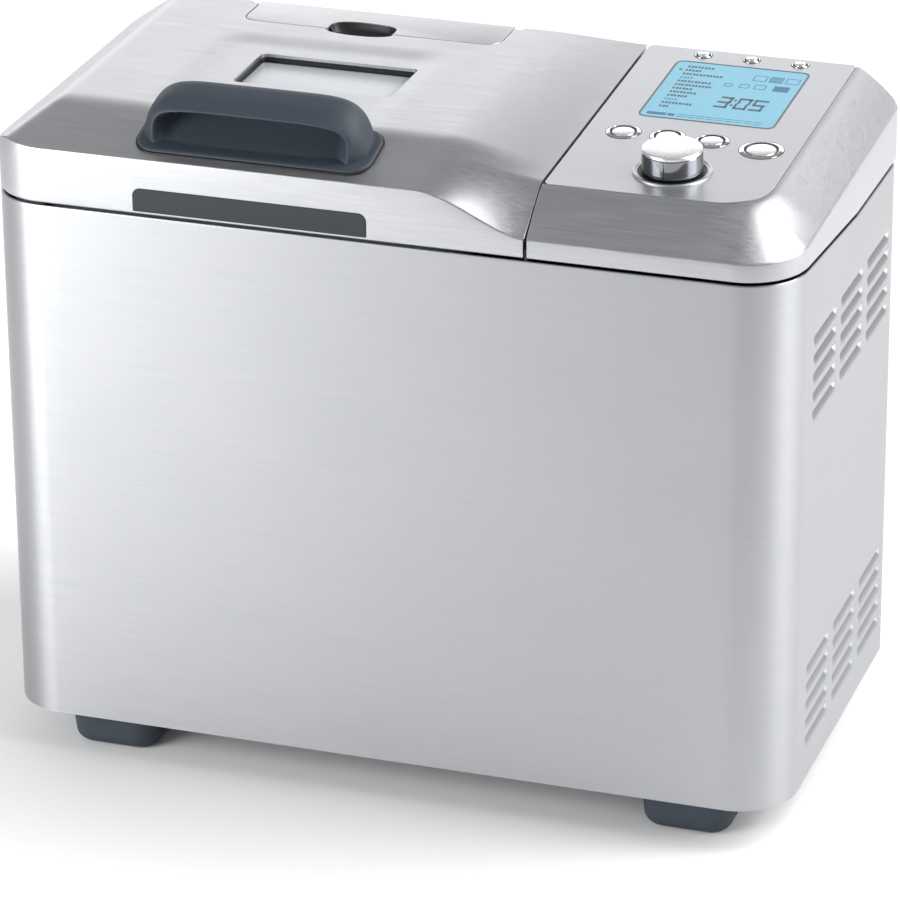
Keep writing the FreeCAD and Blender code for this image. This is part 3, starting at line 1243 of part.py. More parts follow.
def make_dial():
    spot = on_fascia(dial_x, S.dial_inset, 0.0)
    ring = S.dial_ring_radius
    high = S.dial_ring_height
    hole = S.dial_shaft_radius + S.dial_gap
    node(turned("dial_ring", [(hole, as_length(0.0)), (ring, as_length(0.0)), (ring, high / 2),
                              (ring - high / 2, high),
                              (hole, high)], *spot, TILTED))
    low = high + S.dial_gap
    top = high + S.dial_height
    edge = S.dial_height / 8
    foot = -S.board_sink + S.encoder_height / 2
    corners = [(as_length(0.0), foot), (S.dial_shaft_radius, foot), (S.dial_shaft_radius, low),
               (S.dial_radius, low),
               (S.dial_radius, top - edge), (S.dial_radius - edge, top), (as_length(0.0), top)]
    node(turned("dial_knob", corners, *spot, TILTED))


def make_control_board():
    zero = as_length(0.0)
    low = -S.board_sink - S.board_sheet
    pieces = [block("board_plate", (zero, S.board_width), (zero, S.board_depth), (zero, S.board_sheet),
                    TILTED,
                    on_fascia(board_x, S.board_inset, low))]
    for name, across, along, radius, ring_radius in button_layout():
        side = S.switch_side
        pieces.append(block("push_switch", (zero, side), (zero, side), (zero, S.switch_height), TILTED,
                            on_fascia(across - side / 2, along - side / 2, -S.board_sink)))
    side = S.encoder_side
    encoder = block("encoder_body", (zero, side), (zero, side), (zero, S.encoder_height), TILTED,
                    on_fascia(dial_x - side / 2, S.dial_inset - side / 2, -S.board_sink))
    room = rod("encoder_room", S.dial_shaft_radius + S.running_play, S.encoder_height, *on_fascia(
        dial_x, S.dial_inset, S.encoder_height / 2 - S.board_sink - S.running_play), TILTED)
    pieces.append(cut("dial_encoder", encoder, room))
    height = S.board_sink - S.fascia_sheet - S.shell_wall
    for x in (board_x + S.post_radius, board_x + S.board_width - S.post_radius):
        for y in (S.board_inset + S.post_radius, S.board_inset + S.board_depth - 3 * S.post_radius):
            pieces.append(rod("board_post", S.post_radius / 2, height, *on_fascia(x, y, -S.board_sink),
                              TILTED))
    node(join("control_board", *pieces))


def make_power_board():
    shield = S.shield_across + S.shield_sheet
    face = shield + S.standoff
    y = (front_face + S.power_board_inset, front_face + S.power_board_inset + S.power_board_depth)
    z = (S.power_board_low, S.power_board_low + S.power_board_height)
    pieces = [block("power_plate", (face, face + S.board_sheet), y, z)]
    inset = 2 * S.post_radius
    for py in (y[0] + inset, y[1] - inset):
        for pz in (z[0] + inset, z[1] - inset):
            pieces.append(rod("power_standoff", S.post_radius / 2, S.standoff, shield, py, pz, ALONG_X))
    front = face + S.board_sheet
    side = S.transformer_side
    pieces.append(block("power_transformer", (front, front + side), (y[0] + inset, y[0] + inset + side),
                        (z[0] + inset, z[0] + inset + side)))
    relay = y[0] + inset + S.relay_offset
    pieces.append(block("power_relay", (front, front + S.relay_side), (relay, relay + S.relay_length),
                        (z[0] + inset, z[0] + inset + S.relay_side)))
    for step in (0, 1, 2):
        pieces.append(rod("power_capacitor", S.capacitor_radius, S.capacitor_height, front,
                          y[0] + 2 * inset + step * S.capacitor_pitch, z[1] - 2 * inset, ALONG_X))
    node(join("power_board", *pieces))


# ---------------------------------------------------------------- lid


def lid_profile(inset, low, right):
    """Side view of the lid at its left part, or at its right edge where it meets the control housing."""
    if right:
        high = [(cover_back - inset, fascia_high - inset), (fascia_front + inset, fascia_low - inset),
                (front_face + inset, seam_top + S.control_front_band - inset)]
    else:
        high = [(cover_back - inset, crown - inset), (front_face + S.lid_slope_depth, crown - inset),
                (front_face + inset, seam_top + S.lid_front_band - inset)]
    return seam_profile(inset, low) + high


def lid_form(label, inset, low):
    x = (inset - side_face, lid_right - inset)
    y = (front_face + inset, cover_back - inset)
    no_round = None
    plan = rounded_block(label + "_plan", x, y, (low_cut, crown + MARGIN),
                         (S.front_corner - inset, no_round, no_round, S.rear_corner - inset))
    left = lid_profile(inset, low, False)
    valley = lid_right - S.lid_valley_width
    flat = prism_x(label + "_flat", left, (x[0], valley))
    fall = ruled_x(label + "_valley", left, lid_profile(inset, low, True), (valley, x[1]))
    start = crown - S.lid_side_slope_drop - inset
    views = [(x[0], low_cut), (x[0], start), (x[0] + 2 * S.lid_side_slope_width,
                                              start + 2 * S.lid_side_slope_drop),
             (x[1], start + 2 * S.lid_side_slope_drop), (x[1], low_cut)]
    slope = prism_y(label + "_slope", views, y)
    return overlap(label, plan, join(label + "_length", flat, fall), slope)


def hinge_places():
    return [lid_middle - S.hinge_across, lid_middle + S.hinge_across]


window_x = about(lid_middle, S.window_across)
window_y = (front_face + S.window_inset, front_face + S.window_inset + S.window_along)
flap_x = about(lid_middle, S.flap_width)
flap_y = (front_face + S.flap_inset, front_face + S.flap_inset + S.flap_depth)
flap_pivot_y = flap_y[1] - S.flap_barrel_radius
flap_pivot_z = crown - S.flap_sheet - S.flap_barrel_radius
bin_x = about(lid_middle, S.bin_width)
bin_y = (front_face + S.bin_inset, front_face + S.bin_inset + S.bin_depth)
trap_x = about(lid_middle, S.trap_width)
trap_y = (bin_y[0] + S.bin_wall, bin_y[0] + S.bin_wall + S.trap_depth)
trap_pivot_y = trap_y[1] + S.trap_barrel_radius + S.trap_gap
trap_pivot_z = liner_low - S.trap_barrel_radius - S.trap_gap
ceiling = crown - S.shell_wall


def hinge_notches(label):
    """Room that the lid leaves round the two fixed hinge ears."""
    half = S.hinge_ear / 2 + S.hinge_play
    reach = S.hinge_pin_radius + S.hinge_eye
    return [block(label, (x - half, x + half), (hinge_y - 3 * reach, cover_back + MARGIN),
                  (low_cut, hinge_z + reach + 2 * S.hinge_play)) for x in hinge_places()]


def make_lid():
    blank = lid_form("lid_outside", as_length(0.0), None)
    hollow = lid_form("lid_inside", S.shell_wall, low_cut)
    shell = cut("lid_walls", blank, hollow)
    sleeve = S.gasket_wall
    window = rounded_block("lid_window_opening", (window_x[0] - sleeve, window_x[1] + sleeve),
                           (window_y[0] - sleeve, window_y[1] + sleeve), (ceiling - MARGIN, crown + MARGIN),
                           S.window_corner + sleeve)
    gap = S.flap_gap
    recess = rounded_block("lid_flap_recess", (flap_x[0] - gap, flap_x[1] + gap),
                           (flap_y[0] - gap, flap_y[1] + MARGIN),
                           (crown - S.flap_sheet - S.flap_seat, crown + MARGIN),
                           (S.flap_corner, S.flap_corner, None, None))
    throat = block("lid_flap_throat", (bin_x[0] + 2 * S.bin_wall, bin_x[1] - 2 * S.bin_wall),
                   (flap_y[0] + 2 * S.bin_wall, bin_y[1] - S.bin_wall), (ceiling - MARGIN, crown + MARGIN))
    barrel_room = block("lid_flap_barrel_room", (flap_x[0] - gap, flap_x[1] + gap),
                        (flap_pivot_y - S.flap_barrel_radius - 2 * gap, flap_y[1] + MARGIN),
                        (ceiling - 2 * S.flap_barrel_radius, crown))
    scoop = rounded_block("lid_scoop_hole", about(lid_middle, S.scoop_width),
                          (flap_y[0] - S.scoop_depth / 2, flap_y[0] + S.bin_wall),
                          (ceiling - MARGIN, crown + MARGIN),
                          (S.flap_corner / 2, S.flap_corner / 2, None, None))
    inlay = standing_plate("lid_inlay_recess", about(lid_middle, S.inlay_width), front_face + S.inlay_sheet,
                           S.inlay_sheet + MARGIN, (seam_top, seam_top + S.seam_gap + S.inlay_height),
                           S.inlay_corner)
    half = S.hinge_ear / 2 + S.hinge_play
    reach = S.hinge_pin_radius + S.hinge_eye
    cheeks = []
    pivots = []
    for x in hinge_places():
        pivots.append(rod("lid_pin_bore", S.hinge_pin_radius + S.running_play, 4 * S.hinge_ear,
                          x - 2 * S.hinge_ear, hinge_y, hinge_z, ALONG_X))
        for side in (-1, 1):
            cheek = (x + half, x + half + S.hinge_cheek) if side > 0 else (x - half - S.hinge_cheek, x - half)
            cheeks.append(block("lid_cheek", cheek, (hinge_y - reach, cover_back - S.shell_wall / 2),
                                (liner_high, hinge_z + reach)))
    tabs = []
    for side in (-1, 1):
        x = flap_x[1] + gap if side > 0 else flap_x[0] - gap - S.hinge_cheek
        tabs.append(block("lid_flap_tab", (x, x + S.hinge_cheek), (flap_pivot_y - reach, cover_back),
                          (flap_pivot_z - reach, ceiling + S.shell_wall / 2)))
    pivots.append(rod("lid_flap_bore", S.flap_barrel_radius / 2 + S.running_play,
                      S.flap_width + 4 * S.hinge_cheek,
                      flap_x[0] - 2 * S.hinge_cheek, flap_pivot_y, flap_pivot_z, ALONG_X))
    body = cut("lid_opened", shell, window, recess, throat, barrel_room, scoop, inlay,
               *hinge_notches("lid_notch"))
    node(cut("lid_shell", join("lid_with_cheeks", body, *cheeks, *tabs), *pivots))

    make_liner()
    make_window()
    make_lid_trim()
    make_dispenser()
    ears = []
    pins = []
    for x in hinge_places():
        ear = block("hinge_ear_plate", about(x, S.hinge_ear), (hinge_y - reach, wrap_back - S.wrap_sheet),
                    (deck_top, hinge_z))
        eye = rod("hinge_eye_disc", reach, S.hinge_ear, x - S.hinge_ear / 2, hinge_y, hinge_z, ALONG_X)
        trim = block("hinge_ear_trim", about(x, 2 * S.hinge_ear),
                     (wrap_back - S.wrap_sheet, wrap_back + MARGIN),
                     (deck_top, crown))
        bore = rod("hinge_bore", S.hinge_pin_radius, 2 * S.hinge_ear, x - S.hinge_ear, hinge_y, hinge_z,
                   ALONG_X)
        ears.append(cut("hinge_ear", join("hinge_ear_blank", ear, eye), trim, bore))
        length = S.hinge_ear + 2 * S.hinge_play + 2 * S.hinge_cheek
        pins.append(rod("hinge_pin", S.hinge_pin_radius, length, x - length / 2, hinge_y, hinge_z, ALONG_X))
    node(group("hinge_brackets", *ears))
    node(group("hinge_pins", *pins))


def make_liner():
    wall = S.shell_wall
    no_round = None
    plate = rounded_block("liner_plate", (wall - side_face, lid_right - wall),
                          (front_face + wall, cover_back - wall),
                          (liner_low, liner_high), (S.front_corner - wall, no_round, no_round,
                                                    S.rear_corner - wall))
    lip = S.cavity_flange
    collar = rounded_tube("liner_collar", (cavity_x[0] - lip, cavity_x[1] + lip),
                          (cavity_span[0] - lip, cavity_span[1] + lip),
                          (liner_low - S.collar_drop, liner_low),
                          S.collar_wall, S.cavity_corner + lip)
    sleeve = S.gasket_wall
    glass_low = crown - S.window_sink - S.window_glass
    tunnel = rounded_tube("liner_tunnel", (window_x[0] - sleeve, window_x[1] + sleeve),
                          (window_y[0] - sleeve, window_y[1] + sleeve), (liner_high, glass_low),
                          S.liner_sheet, S.window_corner + sleeve)
    view = rounded_block("liner_view", window_x, window_y, (liner_low - MARGIN, liner_high + MARGIN),
                         S.window_corner)
    gap = S.trap_gap
    trap = block("liner_trap_opening", (trap_x[0] - gap, trap_x[1] + gap), (trap_y[0] - gap, trap_y[1] + gap),
                 (liner_low - MARGIN, liner_high + MARGIN))
    lugs = []
    reach = 2 * S.trap_barrel_radius
    for side in (-1, 1):
        x = trap_x[1] + gap if side > 0 else trap_x[0] - gap - S.trap_lug
        lugs.append(block("liner_lug", (x, x + S.trap_lug), (trap_pivot_y - reach, trap_pivot_y + reach),
                          (trap_pivot_z - reach, liner_low)))
    bore = rod("liner_lug_bore", S.trap_barrel_radius / 2 + S.running_play, S.trap_width + 4 * S.trap_lug,
               trap_x[0] - 2 * S.trap_lug, trap_pivot_y, trap_pivot_z, ALONG_X)
    blank = join("liner_blank", plate, collar, tunnel, *lugs)
    node(cut("lid_liner", blank, view, trap, bore, *hinge_notches("liner_notch")))
    seal_low = flange_top + S.seal_gap
    node(rounded_tube("lid_seal", (cavity_x[0] - lip, cavity_x[1] + lip),
                      (cavity_span[0] - lip, cavity_span[1] + lip),
                      (seal_low, liner_low - S.collar_drop), S.seal_width, S.cavity_corner + lip))


def make_window():
    sleeve = S.gasket_wall
    glass_high = crown - S.window_sink
    node(rounded_tube("window_gasket", (window_x[0] - sleeve, window_x[1] + sleeve),
                      (window_y[0] - sleeve, window_y[1] + sleeve), (glass_high, crown),
                      sleeve, S.window_corner + sleeve))
    node(rounded_block("lid_window", (window_x[0] - sleeve, window_x[1] + sleeve),
                       (window_y[0] - sleeve, window_y[1] + sleeve),
                       (glass_high - S.window_glass, glass_high),
                       S.window_corner + sleeve))


def lid_slope(depth):
    """Height of the lid's front slope at a depth behind the front face."""
    rise = (S.lid_rise - S.lid_front_band) / S.lid_slope_depth
    return seam_top + S.lid_front_band + rise * depth


def make_lid_trim():
    depth = S.lid_slope_depth
    near = S.handle_foot_inset
    base = S.handle_base
    x = about(lid_middle, S.handle_width)
    far = depth - near / 2
    top = seam_top + S.handle_top
    ends = [(near, 0.0), (far, 0.0)]
    corners = [(front_face + d, lid_slope(d)) for d, _ in ends]
    corners += [(front_face + d, lid_slope(d) + base) for d, _ in reversed(ends)]
    plate = prism_x("handle_plate", corners, x)
    grip_x = (x[0] + S.handle_side_inset, x[1] - S.handle_side_inset)
    nose = top - S.hood_nose_drop
    hood = [(near, lid_slope(near)), (S.hood_nose, nose), (near, top - S.hood_brow_drop),
            (depth / 2, top), (far - S.hood_back_inset, top - S.hood_back_drop), (far, lid_slope(far))]
    grip = prism_x("handle_hood", [(front_face + d, h) for d, h in hood], grip_x)
    thick = S.hood_wall
    hollow = [(-near, lid_slope(near) + base), (-near, nose - thick), (near, nose - thick / 2),
              (depth / 2, top - thick), (far - thick, nose), (far - thick, lid_slope(far - thick) + base)]
    finger = prism_x("handle_hollow", [(front_face + d, h) for d, h in hollow],
                     (grip_x[0] + S.handle_leg, grip_x[1] - S.handle_leg))
    node(join("lid_handle", plate, cut("handle_grip", grip, finger)))
    inlay_x = about(lid_middle, S.inlay_width)
    node(standing_plate("lid_front_inlay", inlay_x, front_face + S.inlay_sheet, S.inlay_sheet,
                        (seam_top + S.seam_gap, seam_top + S.seam_gap + S.inlay_height), S.inlay_corner))


def make_dispenser():
    wall = S.bin_wall
    box = block("bin_outside", bin_x, bin_y, (liner_high, ceiling))
    room = block("bin_inside", (bin_x[0] + wall, bin_x[1] - wall), (bin_y[0] + wall, bin_y[1] - wall),
                 (liner_high + wall, ceiling + MARGIN))
    gap = S.trap_gap
    drop = block("bin_drop", (trap_x[0] - gap, trap_x[1] + gap), (trap_y[0] + gap, trap_y[1] + gap),
                 (liner_high - MARGIN, liner_high + MARGIN))
    node(cut("dispenser_bin", box, room, drop))
    side = S.solenoid_side
    start = bin_x[1] + S.bin_wall
    node(block("dispenser_solenoid", (start, start + side), (bin_y[0], bin_y[0] + side),
               (liner_high, liner_high + S.solenoid_height)))

    plate = rounded_block("flap_plate", flap_x, flap_y, (crown - S.flap_sheet, crown),
                          (S.flap_corner, S.flap_corner, None, None))
    notch = rounded_block("flap_notch", about(lid_middle, S.scoop_width),
                          (flap_y[0] - MARGIN, flap_y[0] + S.scoop_depth / 2),
                          (crown - S.flap_sheet - MARGIN, crown + MARGIN),
                          (None, None, S.flap_corner / 2, S.flap_corner / 2))
    wall_x = about(lid_middle, S.scoop_width + 2 * wall)
    cup = block("flap_cup", wall_x, (flap_y[0] + 3 * S.bin_wall, flap_y[0] + S.scoop_depth / 2 + wall),
                (crown - S.scoop_sink, crown - S.flap_sheet / 2))
    cup_room = block("flap_cup_room", about(lid_middle, S.scoop_width),
                     (flap_y[0] - MARGIN, flap_y[0] + S.scoop_depth / 2),
                     (crown - S.scoop_sink + wall, crown + MARGIN))
    barrel = rod("flap_barrel", S.flap_barrel_radius, S.flap_width, flap_x[0], flap_pivot_y, flap_pivot_z,
                 ALONG_X)
    web = block("flap_web", flap_x, (flap_pivot_y - S.flap_barrel_radius / 2,
                                     flap_pivot_y + S.flap_barrel_radius / 2),
                (flap_pivot_z, crown - S.flap_sheet / 2))
    stub = rod("flap_stub", S.flap_barrel_radius / 2, S.flap_width + 2 * (gap + S.hinge_cheek),
               flap_x[0] - gap - S.hinge_cheek, flap_pivot_y, flap_pivot_z, ALONG_X)
    node(join("dispenser_flap", cut("flap_top", plate, notch), cut("flap_scoop", cup, cup_room), barrel,
              web, stub))

    door = block("trap_plate", trap_x, trap_y, (liner_low, liner_high - S.flap_seat))
    barrel = rod("trap_barrel", S.trap_barrel_radius, S.trap_width, trap_x[0], trap_pivot_y, trap_pivot_z,
                 ALONG_X)
    arm = block("trap_arm", trap_x, (trap_y[1] - 2 * S.trap_barrel_radius, trap_pivot_y),
                (trap_pivot_z, trap_pivot_z + S.trap_barrel_radius))
    rib = block("trap_rib", trap_x, (trap_y[1] - 2 * S.trap_barrel_radius, trap_y[1]),
                (trap_pivot_z, liner_low + S.liner_sheet / 2))
    stub = rod("trap_stub", S.trap_barrel_radius / 2, S.trap_width + 2 * (gap + S.trap_lug),
               trap_x[0] - gap - S.trap_lug, trap_pivot_y, trap_pivot_z, ALONG_X)
    node(join("dispenser_trapdoor", door, barrel, arm, rib, stub))


# ---------------------------------------------------------------- build, test and write

make_wrap()
make_base()
make_rear()
make_deck()
make_cavity()
make_heating()
make_pan_mount()
make_drive()
make_convection()
make_pan()
make_paddle()
make_bail()
make_control()
make_buttons()
make_dial()
make_control_board()
make_power_board()
make_lid()
document.recompute()

for thing in document.Objects:
    if "Invalid" in thing.State or "Error" in thing.State:
        raise RuntimeError("%s did not build: %s" % (thing.Label, thing.State))
for thing in NODES:
    if thing.Shape.isNull() or not thing.Shape.isValid() or not thing.Shape.Solids:
        raise RuntimeError("%s has no valid solid" % thing.Label)
    print("%-20s %2d solids %10.0f mm3" % (thing.Label, len(thing.Shape.Solids), thing.Shape.Volume))

os.makedirs("parts", exist_ok=True)
for thing in NODES:
    thing.Shape.exportStep("parts/%s.step" % thing.Label)
print("%d nodes" % len(NODES))
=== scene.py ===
"""Bread machine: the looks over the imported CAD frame, in metres, +Z up, front towards -Y."""

import logging
import math
from dataclasses import dataclass, field
from enum import Enum
from typing import Any, Callable, Sequence

import bpy
import numpy as np
from mathutils import Matrix, Vector

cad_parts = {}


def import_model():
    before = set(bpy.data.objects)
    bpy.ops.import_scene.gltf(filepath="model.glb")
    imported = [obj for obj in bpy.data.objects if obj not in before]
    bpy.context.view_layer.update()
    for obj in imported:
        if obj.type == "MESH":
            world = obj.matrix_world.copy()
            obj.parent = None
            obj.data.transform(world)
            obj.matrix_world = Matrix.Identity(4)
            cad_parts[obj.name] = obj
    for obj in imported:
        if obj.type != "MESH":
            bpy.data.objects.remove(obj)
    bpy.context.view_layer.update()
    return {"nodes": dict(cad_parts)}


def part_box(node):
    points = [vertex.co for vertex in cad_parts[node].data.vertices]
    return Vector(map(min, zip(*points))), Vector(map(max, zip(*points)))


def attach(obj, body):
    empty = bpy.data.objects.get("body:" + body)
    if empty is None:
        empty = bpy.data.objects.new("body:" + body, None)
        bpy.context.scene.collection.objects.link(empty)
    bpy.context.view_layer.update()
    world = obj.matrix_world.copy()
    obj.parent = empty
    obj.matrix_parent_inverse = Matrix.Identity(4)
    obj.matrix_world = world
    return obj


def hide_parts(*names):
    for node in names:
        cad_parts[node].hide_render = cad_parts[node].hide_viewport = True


MM = 0.001
LOG = logging.getLogger("bread_machine")

Array = np.ndarray
Span = tuple[float, float]
Faces = list[list[int]]
Solid = tuple[Array, Faces]


class Body(str, Enum):
    """Names of the moving bodies that pieces ride on."""

    HOUSING = "housing"
    LID = "lid"
    FLAP = "flap"
    DIAL = "dial"
    TIMER = "timer_key"
    MODIFY = "modify_key"
    CANCEL = "cancel_key"
    START = "start_key"
    CRUST = "crust_key"
    LOAF_SIZE = "loaf_size_key"
    LAMP = "lamp_key"


class Slot(str, Enum):
    """Material slots of the record."""

    WRAP = "wrap_steel"
    CLADDING = "silver_plastic"
    KEY = "button_silver"
    RING = "ring_chrome"
    SLATE = "dark_plastic"
    INLAY = "inlay_plastic"
    BLACK = "black_plastic"
    SEAL = "seal_rubber"
    WINDOW = "window_glass"
    DISPLAY = "display_glass"


# ------------------------------------------------------------------ colour and node helpers


def linear(hex_colour: str) -> tuple[float, float, float, float]:
    """Turns an sRGB hex colour into the linear colour that shaders take.

    Args:
        hex_colour: six hex digits, such as "c8c9cc".

    Returns:
        Red, green, blue and alpha, linear.
    """
    parts = [int(hex_colour[i : i + 2], 16) / 255.0 for i in (0, 2, 4)]
    return tuple(c / 12.92 if c <= 0.04045 else ((c + 0.055) / 1.055) ** 2.4 for c in parts) + (1.0,)


def add_node(tree: bpy.types.NodeTree, kind: str, links: dict[Any, Any] | None = None, **settings: Any) -> Any:
    """Adds a shader node, sets it up and links its inputs.

    Args:
        tree: the node tree to add to.
        kind: the node's type name.
        links: input name or number to an output socket or a plain value.
        settings: attributes of the node itself.

    Returns:
        The new node.
    """
    made = tree.nodes.new(kind)
    for key, value in settings.items():
        setattr(made, key, value)
    for socket, value in (links or {}).items():
        if isinstance(value, bpy.types.NodeSocket):
            tree.links.new(value, made.inputs[socket])
        else:
            made.inputs[socket].default_value = value
    return made


@dataclass(frozen=True)
class Finish:
    """A surface finish: what it is made of and how its surface was worked."""

    name: str
    light: str
    dark: str
    metallic: float = 0.0
    roughness: float = 0.5
    rough_swing: float = 0.05
    grain_mm: float = 0.5
    bump_mm: float = 0.01
    stretch: tuple[float, float, float] = (1.0, 1.0, 1.0)
    coat: float = 0.0
    coat_roughness: float = 0.1
    anisotropic: float = 0.0
    from_uv: bool = False
    glow: float = 0.0

    def material(self) -> bpy.types.Material:
        """Builds the node material once: grain noise drives colour, roughness and bump.

        Returns:
            The material of this finish.
        """
        if self.name in bpy.data.materials:
            return bpy.data.materials[self.name]
        made = bpy.data.materials.new(self.name)
        made.use_nodes = True
        tree = made.node_tree
        shader = tree.nodes["Principled BSDF"]
        shader.inputs["Metallic"].default_value = self.metallic
        shader.inputs["Coat Weight"].default_value = self.coat
        shader.inputs["Coat Roughness"].default_value = self.coat_roughness
        if self.anisotropic:
            shader.inputs["Anisotropic"].default_value = self.anisotropic
            shader.inputs["Anisotropic Rotation"].default_value = 0.25
            lines = add_node(tree, "ShaderNodeTangent", direction_type="UV_MAP", uv_map="UVMap")
            tree.links.new(lines.outputs[0], shader.inputs["Tangent"])
        where = add_node(tree, "ShaderNodeTexCoord").outputs["UV" if self.from_uv else "Object"]
        spread = tuple(s / (self.grain_mm * MM) for s in self.stretch)
        place = add_node(tree, "ShaderNodeMapping", {"Vector": where, "Scale": spread})
        grain = add_node(tree, "ShaderNodeTexNoise",
                         {"Vector": place.outputs[0], "Scale": 1.0, "Detail": 3.0, "Roughness": 0.6})
        # Broad clouds, about 70 mm across, a quarter as strong as the grain.
        cloud = add_node(tree, "ShaderNodeTexNoise", {"Vector": where, "Scale": 14.0, "Detail": 2.0})
        soft = add_node(tree, "ShaderNodeMath", {0: cloud.outputs["Fac"], 1: 0.25}, operation="MULTIPLY")
        blend = add_node(tree, "ShaderNodeMath", {0: grain.outputs["Fac"], 1: soft.outputs[0]}, operation="ADD")
        share = add_node(tree, "ShaderNodeMapRange", {0: blend.outputs[0], 1: 0.325, 2: 0.925, 3: 0.0, 4: 1.0})
        ramp = add_node(tree, "ShaderNodeValToRGB", {0: share.outputs[0]})
        ramp.color_ramp.elements[0].color = linear(self.dark)
        ramp.color_ramp.elements[1].color = linear(self.light)
        tree.links.new(ramp.outputs["Color"], shader.inputs["Base Color"])
        low, high = self.roughness - self.rough_swing, self.roughness + self.rough_swing
        rough = add_node(tree, "ShaderNodeMapRange", {0: grain.outputs["Fac"], 1: 0.3, 2: 0.7, 3: low, 4: high})
        tree.links.new(rough.outputs[0], shader.inputs["Roughness"])
        if self.bump_mm:
            bump = add_node(tree, "ShaderNodeBump",
                            {"Height": grain.outputs["Fac"], "Strength": 1.0, "Distance": self.bump_mm * MM})
            tree.links.new(bump.outputs["Normal"], shader.inputs["Normal"])
        if self.glow:
            tree.links.new(ramp.outputs["Color"], shader.inputs["Emission Color"])
            shader.inputs["Emission Strength"].default_value = self.glow
        return made


# Brushed stainless sheet: level lines, drawn coarser than the real 0.1 mm so that they show; they smear
# reflections up and down and keep them crisp sideways.
BRUSHED_WRAP = Finish("brushed_stainless_sheet", "b6b7ba", "abadb0", 0.95, 0.40, 0.05, 0.8, 0.0022, (0.015, 1.0, 1.0),
                      anisotropic=0.7, from_uv=True)
# Satin stainless cladding of lid and control housing: fainter lines across, drawn coarser than real.
BRUSHED_TOP = Finish("satin_stainless_cladding", "bfc0c3", "b0b2b6", 0.92, 0.36, 0.06, 0.9, 0.0035, (0.03, 1.0, 1.0),
                     anisotropic=0.5)
# Satin aluminium overlay of the control fascia: finer lines, a soft even sheen.
FASCIA_METAL = Finish("satin_aluminium_fascia", "bfc0c4", "aeb0b4", 0.9, 0.38, 0.06, 0.7, 0.0030, (0.015, 1.0, 1.0))
# Moulded soft-sheen nylon of handle and feet: dark slate with a spark-eroded grain, drawn coarser than real.
SLATE_NYLON = Finish("slate_moulded_nylon", "353e49", "2a323c", 0.0, 0.60, 0.06, 0.8, 0.035)
# Smooth moulded inlay on the lid's front: dull dark slate.
SLATE_INLAY = Finish("slate_moulded_inlay", "272d35", "20262d", 0.0, 0.66, 0.05, 0.8, 0.012)
# Bright chromed rings round the keys: sharp, nearly white reflections.
CHROME = Finish("polished_chrome", "e9eaec", "dadbde", 1.0, 0.10, 0.03, 0.5, 0.0006)
# Smoked chrome of the dial's side: mirror-like but a good deal darker than the rings.
SMOKED_CHROME = Finish("smoked_chrome", "8c8e92", "7f8185", 1.0, 0.12, 0.03, 0.5, 0.0006)
# Satin, softly domed faces of dial and keys: bright with blurred reflections.
SATIN_CAP = Finish("satin_aluminium_cap", "e8e8ea", "d6d7da", 0.85, 0.30, 0.06, 0.5, 0.0015)
# Black rubber of gasket, seal and belt: dull, fine pores. Also used for the black strips in the lid joint and round
# the handle's foot, which are painted shade.
BLACK_RUBBER = Finish("black_silicone_rubber", "17181a", "0d0e0f", 0.0, 0.45, 0.06, 0.6, 0.01)
# Tempered window glass over a pale liner: smooth, slightly wavy, with a soft sheen.
WINDOW_GLASS = Finish("tempered_window_glass", "b4b7bc", "a9adb2", 0.0, 0.34, 0.03, 5.0, 0.0, coat=0.2,
                      coat_roughness=0.25)
# Enamelled dark frame round the display: a thin satin line.
DISPLAY_EDGE = Finish("display_bezel_enamel", "3f474d", "343b40", 0.0, 0.35, 0.05, 0.6, 0.004)
# Backlit display behind its acrylic cover: even, cool blue light.
DISPLAY_BLUE = Finish("backlit_display", "629fb4", "5793ab", 0.0, 0.34, 0.03, 2.0, 0.0, glow=0.22)
# Lit segments: dark blue liquid crystal.
SEGMENT_BLUE = Finish("display_segment", "145a86", "0f4c73", 0.0, 0.4, 0.03, 0.5, 0.0)
# Digits and dashes: near-black liquid crystal.
SEGMENT_DARK = Finish("display_segment_dark", "1d4250", "173641", 0.0, 0.4, 0.03, 0.5, 0.0)
# Half-shown segments: pale liquid crystal.
SEGMENT_PALE = Finish("display_segment_pale", "3f7f9f", "387591", 0.0, 0.4, 0.03, 0.5, 0.0)
# Zinc plated sheet steel: dull silver with a faint spangle.
ZINC_STEEL = Finish("zinc_plated_steel", "b4b6b8", "989b9e", 0.9, 0.42, 0.08, 6.0, 0.01)
# Heat-resistant enamel in the oven: grey with a soft gloss.
GREY_ENAMEL = Finish("grey_oven_enamel", "77797c", "6a6c6f", 0.0, 0.36, 0.05, 0.8, 0.01, coat=0.2)
# Non-stick coating of pan and paddle: near black with a fine sparkle.
NON_STICK = Finish("non_stick_coating", "2b2b2d", "202022", 0.3, 0.45, 0.08, 0.3, 0.008)
# Cast aluminium, bead blasted: even, matt silver.
CAST_ALUMINIUM = Finish("bead_blasted_aluminium", "b9babd", "a5a6aa", 0.9, 0.46, 0.08, 0.4, 0.015)
# Drawn steel of shafts and elements: grey with fine upright lines.
DRAWN_STEEL = Finish("drawn_steel", "9a9b9e", "85868a", 1.0, 0.34, 0.08, 0.3, 0.003, (1.0, 1.0, 0.03))
# Moulded polypropylene of rear cover and dispenser: mid grey with a fine grain.
GREY_PLASTIC = Finish("grey_moulded_polypropylene", "6d7075", "62656a", 0.0, 0.5, 0.05, 0.8, 0.02)
# Moulded nylon of inlet, pulleys and display carrier: near black. Also the thin black line outside each key ring,
# which is painted shadow.
BLACK_NYLON = Finish("black_moulded_nylon", "191a1c", "121315", 0.0, 0.48, 0.05, 0.7, 0.015)
# Glass-epoxy circuit laminate: green with a clear lacquer.
LAMINATE = Finish("green_circuit_laminate", "1f6a3c", "185731", 0.0, 0.4, 0.06, 1.2, 0.01, coat=0.2)
